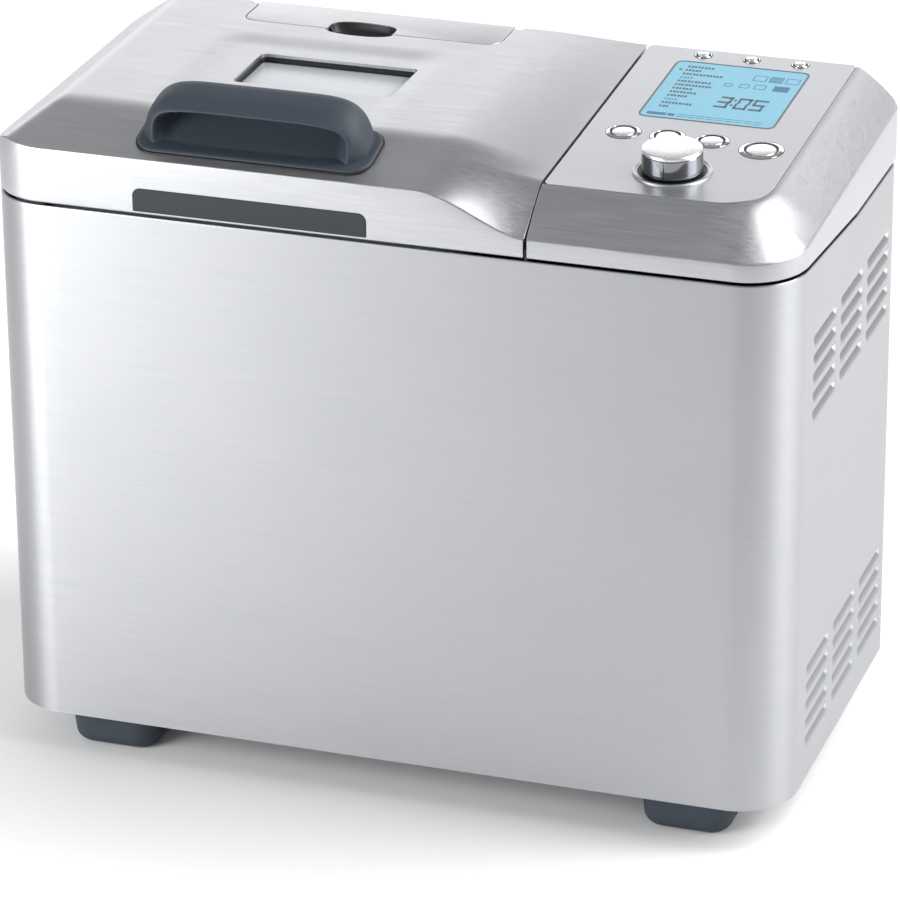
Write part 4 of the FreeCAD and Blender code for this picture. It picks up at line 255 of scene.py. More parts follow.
# Nickel-plated brass contact pins: pale gold.
BRASS = Finish("nickel_brass_pins", "cbb98a", "bba878", 1.0, 0.25, 0.05, 0.5, 0.002)

# ------------------------------------------------------------------ mesh helpers


def make_object(name: str, solid: Solid, finish: Finish, body: Body, angle: float,
                uv: Array | None = None) -> bpy.types.Object:
    """Puts points and faces into a new object at the origin, dresses it and lets it ride a body.

    Args:
        name: the piece's name.
        solid: points in millimetres in the row frame, and the corner numbers of each face, anticlockwise
            from outside.
        finish: the surface finish.
        body: the body it rides on.
        angle: edges sharper than this stay crisp, in degrees.
        uv: (n, 2) surface lengths in metres for each point, where the finish follows the surface.

    Returns:
        The new object.
    """
    mesh = solid_mesh(name, solid)
    mesh.update()
    mesh.shade_smooth()
    mesh.set_sharp_from_angle(angle=math.radians(angle))
    if uv is not None:
        layer = mesh.uv_layers.new(name="UVMap")
        corners = np.empty(len(mesh.loops), dtype=np.int32)
        mesh.loops.foreach_get("vertex_index", corners)
        layer.data.foreach_set("uv", np.asarray(uv)[corners].astype(np.float32).ravel())
    mesh.materials.append(finish.material())
    made = bpy.data.objects.new(name, mesh)
    bpy.context.scene.collection.objects.link(made)
    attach(made, body.value)
    LOG.info("%s: %d faces", name, len(mesh.polygons))
    return made


def solid_mesh(name: str, solid: Solid) -> bpy.types.Mesh:
    """A mesh in metres from points in millimetres and faces."""
    points, faces = solid
    mesh = bpy.data.meshes.new(name)
    mesh.from_pydata((np.asarray(points) * MM).tolist(), [], [list(map(int, face)) for face in faces])
    return mesh


@dataclass
class Batch:
    """Several solids gathered into one."""

    points: list[Array] = field(default_factory=list)
    faces: Faces = field(default_factory=list)
    total: int = 0

    def add(self, solid: Solid) -> None:
        """Adds a solid, its corner numbers moved past those already there."""
        points, faces = solid
        self.faces += [[corner + self.total for corner in face] for face in faces]
        self.points.append(points)
        self.total += len(points)

    def solid(self) -> Solid:
        """The gathered points and faces."""
        return np.concatenate(self.points), self.faces


def tube_faces(rings: int, count: int) -> Array:
    """Quads between closed loops stacked one after another, outwards when loops run anticlockwise upwards."""
    ring, step = np.meshgrid(np.arange(rings - 1), np.arange(count), indexing="ij")
    after = (step + 1) % count
    low, high = ring * count, (ring + 1) * count
    return np.stack([low + step, low + after, high + after, high + step], axis=-1).reshape(-1, 4)


def grid_faces(rows: int, columns: int) -> Array:
    """Quads of a grid of rows and columns, facing up when columns run +X and rows +Y."""
    row, column = np.meshgrid(np.arange(rows - 1), np.arange(columns - 1), indexing="ij")
    start = row * columns + column
    return np.stack([start, start + 1, start + columns + 1, start + columns], axis=-1).reshape(-1, 4)


def rounded_loop(x: Span, y: Span, radii: Sequence[float], inset: float = 0.0, steps: int = 8) -> Array:
    """Closed anticlockwise loop round a rectangle whose corners are quarter circles.

    Args:
        x: lowest and highest x.
        y: lowest and highest y.
        radii: corner radii, front left, front right, rear right, rear left.
        inset: how far the loop is drawn in.
        steps: points on each corner.

    Returns:
        (n, 2) points.
    """
    x, y = (x[0] + inset, x[1] - inset), (y[0] + inset, y[1] - inset)
    turn = np.linspace(0.0, math.pi / 2, steps)
    corners = ((x[0], y[0], 1, 1, math.pi), (x[1], y[0], -1, 1, 1.5 * math.pi),
               (x[1], y[1], -1, -1, 0.0), (x[0], y[1], 1, -1, 0.5 * math.pi))
    parts = []
    for (cx, cy, sx, sy, start), radius in zip(corners, radii):
        r = max(radius - inset, 0.02)
        across, along = cx + sx * r + r * np.cos(start + turn), cy + sy * r + r * np.sin(start + turn)
        parts.append(np.stack([across, along], axis=1))
    return np.concatenate(parts)


def raised(loops: Sequence[Array], heights: Sequence[float | Array]) -> Array:
    """Points of plan loops, each at its height or heights, one loop after another."""
    count = len(loops[0])
    return np.concatenate([np.column_stack([loop, np.broadcast_to(z, count)]) for loop, z in zip(loops, heights)])


def stack(loops: Sequence[Array], heights: Sequence[float | Array]) -> Solid:
    """Closed solid from loops at heights, lowest first, with flat faces at both ends.

    Args:
        loops: (n, 2) loops of equal length.
        heights: the height of each loop, one number or one for each point.

    Returns:
        Points and faces.
    """
    return raised(loops, heights), capped_tube(len(loops), len(loops[0]))


def capped_tube(rings: int, count: int) -> Faces:
    """Faces of stacked loops with a flat face at each end."""
    faces = tube_faces(rings, count).tolist()
    return faces + [list(range(count))[::-1], list(range((rings - 1) * count, rings * count))]


def hollow_ring(loops: Sequence[Array], heights: Sequence[float]) -> Solid:
    """Closed ring whose section runs through the loops, the last joined back to the first.

    Args:
        loops: (n, 2) loops of equal length.
        heights: the height of each loop.

    Returns:
        Points and faces.
    """
    count = len(loops[0])
    step, last = np.arange(count), (len(loops) - 1) * count
    after = np.roll(step, -1)
    closing = np.stack([after, step, last + step, last + after], axis=1)
    return raised(loops, heights), np.concatenate([tube_faces(len(loops), count), closing]).tolist()


def block(x: Span, y: Span, z: Span, radius: float = 0.0) -> Solid:
    """An upright block with equal corner radii, for cuts."""
    return stack([rounded_loop(x, y, [radius] * 4)] * 2, z)


def soft_block(x: Span, y: Span, z: Span, radii: Sequence[float], edge: float) -> Solid:
    """A rounded block whose upper edge is a quarter round: each loop steps in as it turns over."""
    turn = np.linspace(0.0, math.pi / 2, 5)
    loops = [rounded_loop(x, y, radii)] + [rounded_loop(x, y, radii, edge * (1 - math.cos(t))) for t in turn]
    return stack(loops, [z[0]] + [z[1] - edge * (1 - math.sin(t)) for t in turn])


def lathe(profile: Sequence[tuple[float, float]], segments: int = 72) -> Solid:
    """Turns (radius, height) points about the vertical: radius times cosine and sine of the angle.

    Args:
        profile: points from the bottom axis, out and up, to the top axis, or back to the start for a ring.
        segments: steps round.

    Returns:
        Points and faces.
    """
    turn = np.linspace(0.0, 2 * math.pi, segments, endpoint=False)
    circle = np.stack([np.cos(turn), np.sin(turn)], axis=1)
    if not np.allclose(profile[0], profile[-1]):
        return raised([circle * r for r, _ in profile], [z for _, z in profile]), capped_tube(len(profile), segments)
    points = raised([circle * r for r, _ in profile[:-1]], [z for _, z in profile[:-1]])
    return points, (tube_faces(len(profile), segments) % len(points)).tolist()


def smooth_least(a: Array, b: Array, soft: float) -> Array:
    """The lesser of two surfaces, the crease between them eased over the soft width."""
    share = np.clip(0.5 + 0.5 * (b - a) / soft, 0.0, 1.0)
    return b * (1 - share) + a * share - soft * share * (1 - share)


def rounded_distance(x: Array, y: Array, right: float, front: float, radius: float) -> Array:
    """Distance outside an area with a rounded front right corner, negative inside.

    Args:
        x: places across.
        y: places from front to rear.
        right: the area's right edge.
        front: the area's front edge.
        radius: the corner's radius.

    Returns:
        Distances in millimetres.
    """
    across, ahead = x - right + radius, front - y + radius
    outer = np.hypot(np.maximum(across, 0.0), np.maximum(ahead, 0.0))
    return outer + np.minimum(np.maximum(across, ahead), 0.0) - radius


def ease(t: Array) -> Array:
    """Smooth step from 0 to 1: three t squared minus two t cubed."""
    t = np.clip(t, 0.0, 1.0)
    return t * t * (3 - 2 * t)


def signed_power(value: Array, power: float) -> Array:
    """The value's size raised to a power, with its sign kept."""
    return np.sign(value) * np.abs(value) ** power


def flat_uv(points: Array) -> Array:
    """Surface lengths for brushing that runs across: x one way, y less z the other, slightly skewed."""
    return np.stack([points[:, 0] + 0.03 * points[:, 1], points[:, 1] - points[:, 2]], axis=1) * MM


def box_mm(node: str) -> tuple[Array, Array]:
    """A CAD node's lowest and highest corners in millimetres."""
    low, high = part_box(node)
    return np.array(low) / MM, np.array(high) / MM


def subtract(target: bpy.types.Object, cutters: Sequence[Solid], angle: float | None = None) -> None:
    """Cuts closed solids out of a piece and leaves the result in its mesh.

    Args:
        target: the piece to cut.
        cutters: the solids to take away, in millimetres.
        angle: edges sharper than this are made crisp again, in degrees.
    """
    for solid in cutters:
        mesh = solid_mesh("cutter", solid)
        tool = bpy.data.objects.new("cutter", mesh)
        bpy.context.scene.collection.objects.link(tool)
        cut = target.modifiers.new("cut", "BOOLEAN")
        cut.operation = "DIFFERENCE"
        cut.solver = "EXACT"
        cut.object = tool
        bpy.context.view_layer.update()
        result = bpy.data.meshes.new_from_object(target.evaluated_get(bpy.context.evaluated_depsgraph_get()))
        target.modifiers.remove(cut)
        old = target.data
        target.data = result
        result.name = old.name
        bpy.data.meshes.remove(old)
        bpy.data.objects.remove(tool)
        bpy.data.meshes.remove(mesh)
    if angle is not None:
        target.data.set_sharp_from_angle(angle=math.radians(angle))


def capped_shell(x: Span, y: Span, radii: Sequence[float], edge: float, height: Callable[[Array, Array], Array],
                 bottom: Callable[[Array], Array], step: float = 1.6) -> Solid:
    """A closed body: a height grid on top, a rounded rim, upright walls, a rounded lower edge and a floor.

    The grid's rows run between the left and right outline at each depth; the outline's corners are quarter
    circles. Loops round the grid's border are drawn in and lowered on a quarter circle to round the rim.

    Args:
        x: lowest and highest x.
        y: lowest and highest y.
        radii: corner radii, front left, front right, rear right, rear left.
        edge: rim radius.
        height: top height at x and y.
        bottom: height of the lower rim at y.
        step: grid step in millimetres.

    Returns:
        Points and faces.
    """
    front_left, front_right, rear_right, rear_left = radii
    big, small, bead = 30.0, 6.0, 0.9
    columns = int((x[1] - x[0]) / step)
    u = np.linspace(0, 1, columns)
    near = big * (1 - np.cos(np.linspace(0, math.pi / 2, 26)))
    back = (y[1] - y[0]) - small * (1 - np.cos(np.linspace(0, math.pi / 2, 8)))
    rows = np.unique(np.concatenate([near, np.arange(big, y[1] - y[0] - small, step), back]).round(4))
    v = rows / (y[1] - y[0])

    def bite(depth: Array, radius: float) -> Array:
        """How far a quarter-circle corner draws the side in at a depth from the end."""
        inside = np.clip(radius - depth, 0.0, radius)
        return radius - np.sqrt(np.maximum(radius * radius - inside * inside, 0.0))

    def plan(inset: float) -> tuple[Array, Array]:
        """Grid of x and y with the outline drawn in by the inset."""
        y0, y1 = y[0] + inset, y[1] - inset
        yy = y0 + v * (y1 - y0)
        left = x[0] + inset + bite(yy - y0, front_left - inset) + bite(y1 - yy, rear_left - inset)
        right = x[1] - inset - bite(yy - y0, front_right - inset) - bite(y1 - yy, rear_right - inset)
        return left[:, None] + u[None, :] * (right - left)[:, None], np.broadcast_to(yy[:, None], (len(v), columns))

    def border(grid: Array) -> Array:
        """The grid's outer values, anticlockwise from the front left corner."""
        return np.concatenate([grid[0, :], grid[1:, -1], grid[-1, -2::-1], grid[-2:0:-1, 0]])

    def loop(inset: float, z: Array) -> Array:
        """The outline drawn in by the inset, at heights."""
        px, py = plan(inset)
        return np.column_stack([border(px), border(py), z])

    gx, gy = plan(edge)
    gz = height(gx, gy)
    rim = border(gz)
    low = bottom(border(plan(0.0)[1]))
    loops = [loop(edge * (1 - math.cos(turn)), rim - edge * (1 - math.sin(turn)))
             for turn in np.linspace(math.pi / 2, 0, 6)[1:]]
    loops += [loop(0.0, low + bead + (rim - edge - low - bead) * share) for share in (0.6, 0.2)]
    loops += [loop(bead * (1 - math.cos(turn)), low + bead * (1 - math.sin(turn)))
              for turn in np.linspace(0, math.pi / 2, 6)]
    top = np.stack([gx, gy, gz], axis=-1).reshape(-1, 3)
    faces = grid_faces(len(v), columns).tolist()
    last = border(np.arange(len(top)).reshape(len(v), columns))
    for number in range(len(loops)):
        ring = len(top) + number * len(last) + np.arange(len(last))
        faces += np.stack([ring, np.roll(ring, -1), np.roll(last, -1), last], axis=1).tolist()
        last = ring
    faces.append(last[::-1].tolist())
    return np.concatenate([top] + loops), faces


# ------------------------------------------------------------------ shared sizes from the frame


@dataclass
class Frame:
    """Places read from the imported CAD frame, and sizes that several pieces share, in millimetres."""

    front: float = field(init=False)
    side: float = field(init=False)
    wrap_back: float = field(init=False)
    foot: float = field(init=False)
    seam_front: float = field(init=False)
    seam_rear: float = field(init=False)
    lid_low: Array = field(init=False)
    lid_high: Array = field(init=False)
    control_low: Array = field(init=False)
    control_high: Array = field(init=False)
    fascia_high: Array = field(init=False)
    corner: float = 30.0
    rear_corner: float = 6.0
    edge: float = 0.9
    crisp: float = 24.0
    tilt: float = math.radians(3.0)
    gap: float = 1.5
    seam_drop: float = 7.6
    fall_start: float = 25.0
    fall_length: float = 100.0
    fascia_start: float = 27.0
    fascia_rise: float = 30.3
    rim_rise: float = 10.5

    def __post_init__(self) -> None:
        """Reads the boxes of the CAD nodes."""
        low, high = box_mm("housing_wrap")
        self.front, self.side, self.wrap_back = low[1], high[0], high[1]
        self.foot, self.seam_front = low[2], high[2]
        self.seam_rear = self.seam_front - self.seam_drop
        self.lid_low, self.lid_high = box_mm("lid_shell")
        self.control_low, self.control_high = box_mm("control_housing")
        self.fascia_high = box_mm("control_fascia")[1]

    def seam(self, y: Array) -> Array:
        """Height of the wrap's upper edge: level, then a straight fall to the rear, then level."""
        fallen = np.clip((np.asarray(y) - self.front - self.fall_start) / self.fall_length, 0.0, 1.0)
        return self.seam_front + (self.seam_rear - self.seam_front) * fallen

    def lower_rim(self, y: Array) -> Array:
        """Height of the lower rim of lid and controls: the joint's width above the seam."""
        return self.seam(y) + self.gap

    def fascia_plane(self, y: Array) -> Array:
        """Height of the tilted fascia face: its front edge plus the rise of the tilt."""
        behind = np.asarray(y) - self.front - self.fascia_start
        return self.seam_front + self.fascia_rise + behind * math.tan(self.tilt)

    def on_fascia(self, points: Array, x: float, along: float) -> Array:
        """Turns upright points to stand on the fascia: tilt about X, then move to the spot.

        Args:
            points: (n, 3) points about the origin, +Z off the fascia.
            x: place across.
            along: distance up the slope from the fascia's front edge.

        Returns:
            The points in the row frame.
        """
        c, s = math.cos(self.tilt), math.sin(self.tilt)
        turned = points @ np.array([[1, 0, 0], [0, c, s], [0, -s, c]])
        y = self.front + self.fascia_start + along * c
        return turned + np.array([x, y, self.seam_front + self.fascia_rise + along * s])


# ------------------------------------------------------------------ body wrap


@dataclass
class SteelWrap:
    """The steel wrap round the machine, its pressed louvres and its feet."""

    frame: Frame
    flange: float = 15.0
    louvre_length: float = 45.0
    louvre_slot: float = 3.0
    louvre_pitch: float = 9.8
    louvre_rows: int = 5
    louvre_columns: int = 3
    column_pitch: float = 52.5
    first_column: float = 43.0
    group_starts: Span = (218.5, 42.0)
    louvre_depth: float = 2.6
    louvre_fade: float = 6.4
    foot_size: Span = (49.0, 42.0)
    foot_corner: float = 13.0
    foot_roll: float = 6.5
    foot_draft: float = 1.6

    def outline(self) -> tuple[Array, Array]:
        """Plan line of the wrap's outer face from the left rear flange round the front to the right one.

        Returns:
            (n, 2) points and the length along the line at each, in millimetres.
        """
        f = self.frame
        r, q = f.corner, f.rear_corner
        x, y0, y1 = f.side, f.front, f.wrap_back
        quarter = np.linspace(0, math.pi / 2, 25)
        small = np.linspace(0, math.pi / 2, 7)
        left_rear = np.stack([-x + q - q * np.sin(small), y1 - q + q * np.cos(small)], axis=1)
        left_front = np.stack([-x + r - r * np.cos(quarter), y0 + r - r * np.sin(quarter)], axis=1)
        right_front = np.stack([x - r + r * np.sin(quarter), y0 + r - r * np.cos(quarter)], axis=1)
        right_rear = np.stack([x - q + q * np.cos(small), y1 - q + q * np.sin(small)], axis=1)
        side_left = np.stack([np.full(9, -x), np.linspace(y1 - q, y0 + r, 11)[1:-1]], axis=1)
        front = np.stack([np.linspace(-x + r, x - r, 30)[1:-1], np.full(28, y0)], axis=1)
        last = y0 + self.first_column + (self.louvre_columns - 1) * self.column_pitch + self.louvre_length + 2.0
        run = np.arange(y0 + self.first_column - 2.0, last, 0.95)
        side_right = np.stack([np.full(len(run), x), run], axis=1)
        left_end = np.array([[-x + q + self.flange, y1]])
        right_end = np.array([[x - q - self.flange, y1]])
        line = np.concatenate([left_end, left_rear, side_left, left_front, front,
                               right_front, side_right, right_rear, right_end])
        steps = np.linalg.norm(np.diff(line, axis=0), axis=1)
        return line, np.concatenate([[0.0], np.cumsum(steps)])

    def levels(self) -> Array:
        """Heights of the grid's rows: close together over the two louvre groups.

        Returns:
            The heights, lowest first.
        """
        f = self.frame
        reach = (self.louvre_rows - 1) * self.louvre_pitch
        fine = [np.arange(level - 5.0, level + reach + self.louvre_slot + 2.0, 0.6) for level in self.group_starts]
        coarse = np.linspace(f.foot, f.seam_rear - 12.0, 24)
        near_edge = [f.foot + 0.35, f.foot + 1.2, f.seam_rear - 4.0]
        free = [z for z in coarse if all(z < run[0] - 1 or z > run[-1] + 1 for run in fine)]
        return np.unique(np.concatenate(fine + [np.array(free + near_edge)]))

    def dent(self, y: Array, z: Array) -> Array:
        """Depth share of the pressed louvres.

        Each louvre is deepest at its upper lip and fades downwards on an eased ramp; along its length it is an
        eased plateau whose rear end turns out in a short quarter round.

        Args:
            y: places from front to rear.
            z: heights.

        Returns:
            0 on the flat sheet to 1 at a lip.
        """
        dent = np.zeros_like(y)
        for column in range(self.louvre_columns):
            low = self.frame.front + self.first_column + column * self.column_pitch
            plateau = ease((y - low) / 5.0) * ease((low + self.louvre_length - y) / 2.4)
            for level in self.group_starts:
                for step in range(self.louvre_rows):
                    lip = level + step * self.louvre_pitch + self.louvre_slot
                    under = (lip - z) / self.louvre_fade
                    tooth = np.where(under < 0, 1 - ease(-under * self.louvre_fade / 0.9), 1 - ease(under))
                    dent = np.maximum(dent, plateau * tooth)
        return dent

    def build_wrap(self) -> None:
        """The sheet: the plan line carried up to the seam, hemmed at both edges, louvres pressed into its side."""
        f = self.frame
        line, length = self.outline()
        levels = self.levels()
        top = f.seam(line[:, 1])
        z = np.repeat(levels[:, None], len(line), axis=1)
        z = np.concatenate([z, (top - 1.0)[None, :], (top - 0.3)[None, :]])
        x = np.broadcast_to(line[:, 0], z.shape).copy()
        y = np.broadcast_to(line[:, 1], z.shape).copy()
        x -= np.where(x > f.side - 0.01, self.louvre_depth * self.dent(y, z), 0.0)
        along = np.gradient(line, axis=0)
        along /= np.linalg.norm(along, axis=1)[:, None]
        inward = np.stack([-along[:, 1], along[:, 0]], axis=1)
        level = np.full(len(line), f.foot)
        lower_hem = ((4.0, level + 0.4), (0.9, level), (0.25, level + 0.08))
        upper_hem = ((0.2, top - 0.06), (0.9, top), (1.0, top - 6.0))

        def hem(inset: float, height: Array) -> Array:
            """One row drawn in from the plan line."""
            return np.column_stack([line + inward * inset, height])

        middle = np.stack([x, y, z], axis=-1)
        points = np.concatenate([[hem(*row) for row in lower_hem], middle, [hem(*row) for row in upper_hem]])
        uv = np.stack([np.broadcast_to(length, points.shape[:2]), points[:, :, 2]], axis=-1).reshape(-1, 2) * MM
        sheet = points.reshape(-1, 3), grid_faces(len(points), len(line)).tolist()
        wrap = make_object("steel_wrap", sheet, BRUSHED_WRAP, Body.HOUSING, 40.0, uv)
        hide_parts("housing_wrap")

    def build_feet(self) -> None:
        """Four feet: the lower edge is rolled out on a quarter round, then the sides widen by the draft."""
        low, high = box_mm("feet")
        width, depth = self.foot_size
        turns = np.linspace(math.pi / 2, 0, 9)
        insets = [self.foot_draft + self.foot_roll * (1 - math.cos(turn)) for turn in turns] + [0.0]
        heights = [self.foot_roll * (1 - math.sin(turn)) for turn in turns] + [self.frame.foot]
        feet = Batch()
        for x in (low[0], high[0] - width):
            for y in (low[1], high[1] - depth):
                feet.add(stack([rounded_loop((x, x + width), (y, y + depth), [self.foot_corner] * 4, inset, 12)
                                for inset in insets], heights))
        made = make_object("moulded_feet", feet.solid(), SLATE_NYLON, Body.HOUSING, 35.0)
        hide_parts("feet")


# ------------------------------------------------------------------ lid


@dataclass
class Lid:
    """The hinged lid: clad shell, handle, inlay, window and dispenser flap."""

    frame: Frame
    front_band: float = 30.0
    slope_depth: float = 44.0
    side_slope: Span = (24.5, 17.0)
    valley_width: float = 54.0
    valley_rise: float = 19.8
    dish_x: Span = (-140.0, -12.0)
    dish_depth: Span = (40.0, 162.0)
    gasket_corner: float = 4.8
    gasket_wall: float = 1.8
    gasket_drop: float = 2.7
    hinge_places: Span = (-170.0, 38.0)
    bin_x: Span = (-129.0, -3.0)
    bin_front: float = 22.0
    scoop_middle: float = -71.0
    scoop_half: Span = (19.0, 11.0)
    scoop_powers: Span = (0.9, 0.62)

    def height(self, x: Array, y: Array) -> Array:
        """Top of the lid: crown, front and left slopes eased together, sinking across the valley to the controls.

        The dish round the window is a shallow eased basin.

        Args:
            x: places across.
            y: places from front to rear.

        Returns:
            Heights.
        """
        f = self.frame
        depth, across = y - f.front, x + f.side
        crown = f.lid_high[2]
        start = f.seam_front + self.front_band
        front = start + (crown - start) / self.slope_depth * depth
        left = crown - self.side_slope[1] + self.side_slope[1] / self.side_slope[0] * across
        full = smooth_least(smooth_least(np.full_like(x, crown), front, 1.6), left, 3.0)
        low_front = f.seam_front + f.rim_rise + depth * (self.valley_rise / f.fascia_start)
        low = smooth_least(low_front, f.fascia_plane(y), 2.5)
        share = ease((x - (f.lid_high[0] - self.valley_width)) / (self.valley_width + 4.0))
        dish = ease((x - self.dish_x[0]) / 20.0) * ease((self.dish_x[1] - x) / 20.0)
        dish = dish * ease((depth - self.dish_depth[0]) / 16.0) * ease((self.dish_depth[1] - depth) / 18.0)
        return full * (1 - share) + low * share - dish

    def build(self) -> None:
        """Builds every piece of the lid."""
        self.build_shell()
        self.build_handle()
        self.build_inlay()
        self.build_window()
        self.build_flap()

    def build_shell(self) -> None:
        """The clad shell over the plan, with its openings for window, flap, scoop, dispenser and hinges."""
        f = self.frame
        crown, above = f.lid_high[2], f.lid_high[2] + 5
        x, y = (f.lid_low[0], f.lid_high[0]), (f.lid_low[1], f.lid_high[1])
        solid = capped_shell(x, y, (f.corner, 0.0, 0.4, f.rear_corner), f.edge, self.height, f.lower_rim)
        shell = make_object("lid_shell_cladding", solid, BRUSHED_TOP, Body.LID, f.crisp,
                            flat_uv(solid[0]))
        low, high = box_mm("window_gasket")
        flap_low, flap_high = self.flap_box()
        floor = box_mm("lid_liner")[1][2] - 28.0
        lip = 1.3
        flap_hole = rounded_loop((flap_low[0] - 0.5, flap_high[0] + 0.5), (flap_low[1] - 0.5, flap_high[1] + 5),
                                 (8.5, 8.5, 0, 0))
        bin_rear = flap_high[1] - 3.4
        around = np.linspace(0, 2 * math.pi, 48, endpoint=False)
        cutters = [
            block((low[0], high[0]), (low[1], high[1]), (floor, crown - 2.6), self.gasket_corner),
            block((low[0] + lip, high[0] - lip), (low[1] + lip, high[1] - lip), (floor, above), 3.4),
            stack([flap_hole] * 2, (crown - 2.0, above)),
            block(self.bin_x, (flap_low[1] + 3.0, bin_rear), (crown - 12.0, above), 2.0),
            block(self.bin_x, (self.bin_front, bin_rear), (f.seam_rear - 20.0, crown - 8.0), 2.0),
            stack([self.scoop_loop(0.0, around)] * 2, (crown - 9.0, above)),
        ]
        cutters += [block((place - 4.0, place + 4.0), (64.0, 90.0), (285.0, 317.0)) for place in self.hinge_places]
        cutters.append(block((flap_low[0] - 5, flap_high[0] + 5), (flap_high[1] - 3.8, flap_high[1] + 5),
                             (crown - 5.9, above)))
        subtract(shell, cutters, f.crisp)
        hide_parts("lid_shell")

    def build_window(self) -> None:
        """The rubber gasket as a rounded tube that ends below the cladding, with the pane set into it."""
        low, high = box_mm("window_gasket")
        base = box_mm("lid_window")[0][2]
        top = self.frame.lid_high[2] - self.gasket_drop
        wall, side = self.gasket_wall, self.gasket_wall + 0.05
        loops = [rounded_loop((low[0], high[0]), (low[1], high[1]), [self.gasket_corner] * 4, inset)
                 for inset in (0.0, 0.0, 0.3, wall - 0.3, wall, wall)]
        tube = hollow_ring(loops, (base, top - 0.3, top, top, top - 0.3, base))
        gasket = make_object("window_gasket_tube", tube, BLACK_RUBBER, Body.LID, 40.0)
        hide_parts("window_gasket")
        pane = soft_block((low[0] + side, high[0] - side), (low[1] + side, high[1] - side), (base, top - 2.6),
                          [3.0] * 4, 0.5)
        glass = make_object("lid_window_pane", pane, WINDOW_GLASS, Body.LID, 30.0)
        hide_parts("lid_window")

    def flap_box(self) -> tuple[Array, Array]:
        """The flap plate's lowest and highest corners: the node's less the ends of its hinge pin."""
        low, high = box_mm("dispenser_flap")
        return np.array([low[0] + 4.5, low[1], low[2]]), np.array([high[0] - 4.5, high[1], high[2]])

    def scoop_loop(self, inset: float, turn: Array) -> Array:
        """Plan line of the finger scoop: an oval whose sides bulge by a power of cosine and sine.

        Args:
            inset: how far the line is drawn in.
            turn: angles round the scoop's middle.

        Returns:
            (n, 2) points.
        """
        half = (self.scoop_half[0] - inset, self.scoop_half[1] - inset)
        across = self.scoop_middle + half[0] * signed_power(np.cos(turn), self.scoop_powers[0])
        middle = self.flap_box()[0][1] + 4.0
        return np.stack([across, middle + half[1] * signed_power(np.sin(turn), self.scoop_powers[1])], axis=1)

    def build_flap(self) -> None:
        """The dispenser flap: a flush plate with a finger scoop in its front edge, on a hinge barrel at its rear."""
        low, high = self.flap_box()
        node_low, node_high = box_mm("dispenser_flap")
        crown = self.frame.lid_high[2]
        plate = soft_block((low[0], high[0]), (low[1], high[1]), (crown - 1.6, crown), (8.0, 8.0, 0.6, 0.6), 0.3)
        flap = make_object("dispenser_flap_plate", plate, BRUSHED_TOP, Body.FLAP, 30.0,
                           flat_uv(plate[0]))
        around = np.linspace(0, 2 * math.pi, 48, endpoint=False)
        subtract(flap, [stack([self.scoop_loop(1.2, around)] * 2, (crown - 9, crown + 5))])
        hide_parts("dispenser_flap")
        pin, barrel = 1.2, 1.9
        start, end = low[0] - node_low[0], high[0] - node_low[0]
        points, faces = lathe([(pin, 0.0), (pin, start), (barrel, start + 0.3), (barrel, end - 0.3),
                               (pin, end), (pin, node_high[0] - node_low[0])], 32)
        laid = [points[:, 2] + node_low[0], points[:, 0] + high[1] - 1.6, -points[:, 1] + crown - 3.2]
        turned = np.stack(laid, axis=1), [face[::-1] for face in faces]
        make_object("dispenser_flap_barrel", turned, BLACK_NYLON, Body.FLAP, 30.0)
        self.build_scoop(low[1] + 1.2, crown)

    def build_scoop(self, front: float, crown: float) -> None:
        """The black cup under the scoop: half loops that draw in as they go down.

        Args:
            front: the cup's front edge.
            crown: height of the flap's face.
        """
        turn = np.linspace(0, math.pi, 41)
        rows = []
        for inset, drop in ((1.25, 0.5), (1.9, 0.7), (2.6, 3.4), (4.2, 4.9), (8.0, 5.3)):
            line = self.scoop_loop(inset, turn)
            rows.append(np.column_stack([line[:, 0], np.maximum(line[:, 1], front), np.full(len(turn), crown - drop)]))
        sheet = np.concatenate(rows), grid_faces(len(rows), len(turn)).tolist()
        cup = make_object("dispenser_flap_scoop", sheet, BLACK_NYLON, Body.FLAP, 50.0)
        thick = cup.modifiers.new("wall", "SOLIDIFY")
        thick.thickness = 0.7 * MM
        thick.offset = -1.0

    def build_handle(self) -> None:
        """The handle: a hooded grip with a scooped finger hollow, on a base plate ringed by a thin black band that
        stands in for the shadow at its foot: painted shade.
        """
        low, high = box_mm("lid_handle")
        f = self.frame
        slope = (f.lid_high[2] - f.seam_front - self.front_band) / self.slope_depth
        x = (low[0] - 2.8, high[0] - 1.6)
        rise = f.seam_front + self.front_band
        near, far = 5.2, 42.0
        # The black band just round the base plate's foot is painted shadow: it stands in for the shade where the plate
        # meets the lid.
        shadow_ring_rows = ((0.0, -0.6), (0.0, 0.75), (0.3, 0.9))
        base_rows = ((0.9, -0.4), (0.9, 1.0), (1.1, 1.5), (1.6, 1.9), (2.5, 2.1))
        for name, finish, rows in (("lid_handle_painted_shadow_ring", BLACK_RUBBER, shadow_ring_rows),
                                   ("lid_handle_base", SLATE_NYLON, base_rows)):
            loops = [rounded_loop(x, (f.front + near, f.front + far), [12.0] * 4, inset, 12) for inset, _ in rows]
            heights = [rise + (loop[:, 1] - f.front) * slope + z for loop, (_, z) in zip(loops, rows)]
            make_object(name, stack(loops, heights), finish, Body.LID, 30.0)
        self.build_grip((x[0] + 3.0, x[1] - 4.6), (near + 0.9, far - 4.1), rise, slope, high[2] - 2.4)

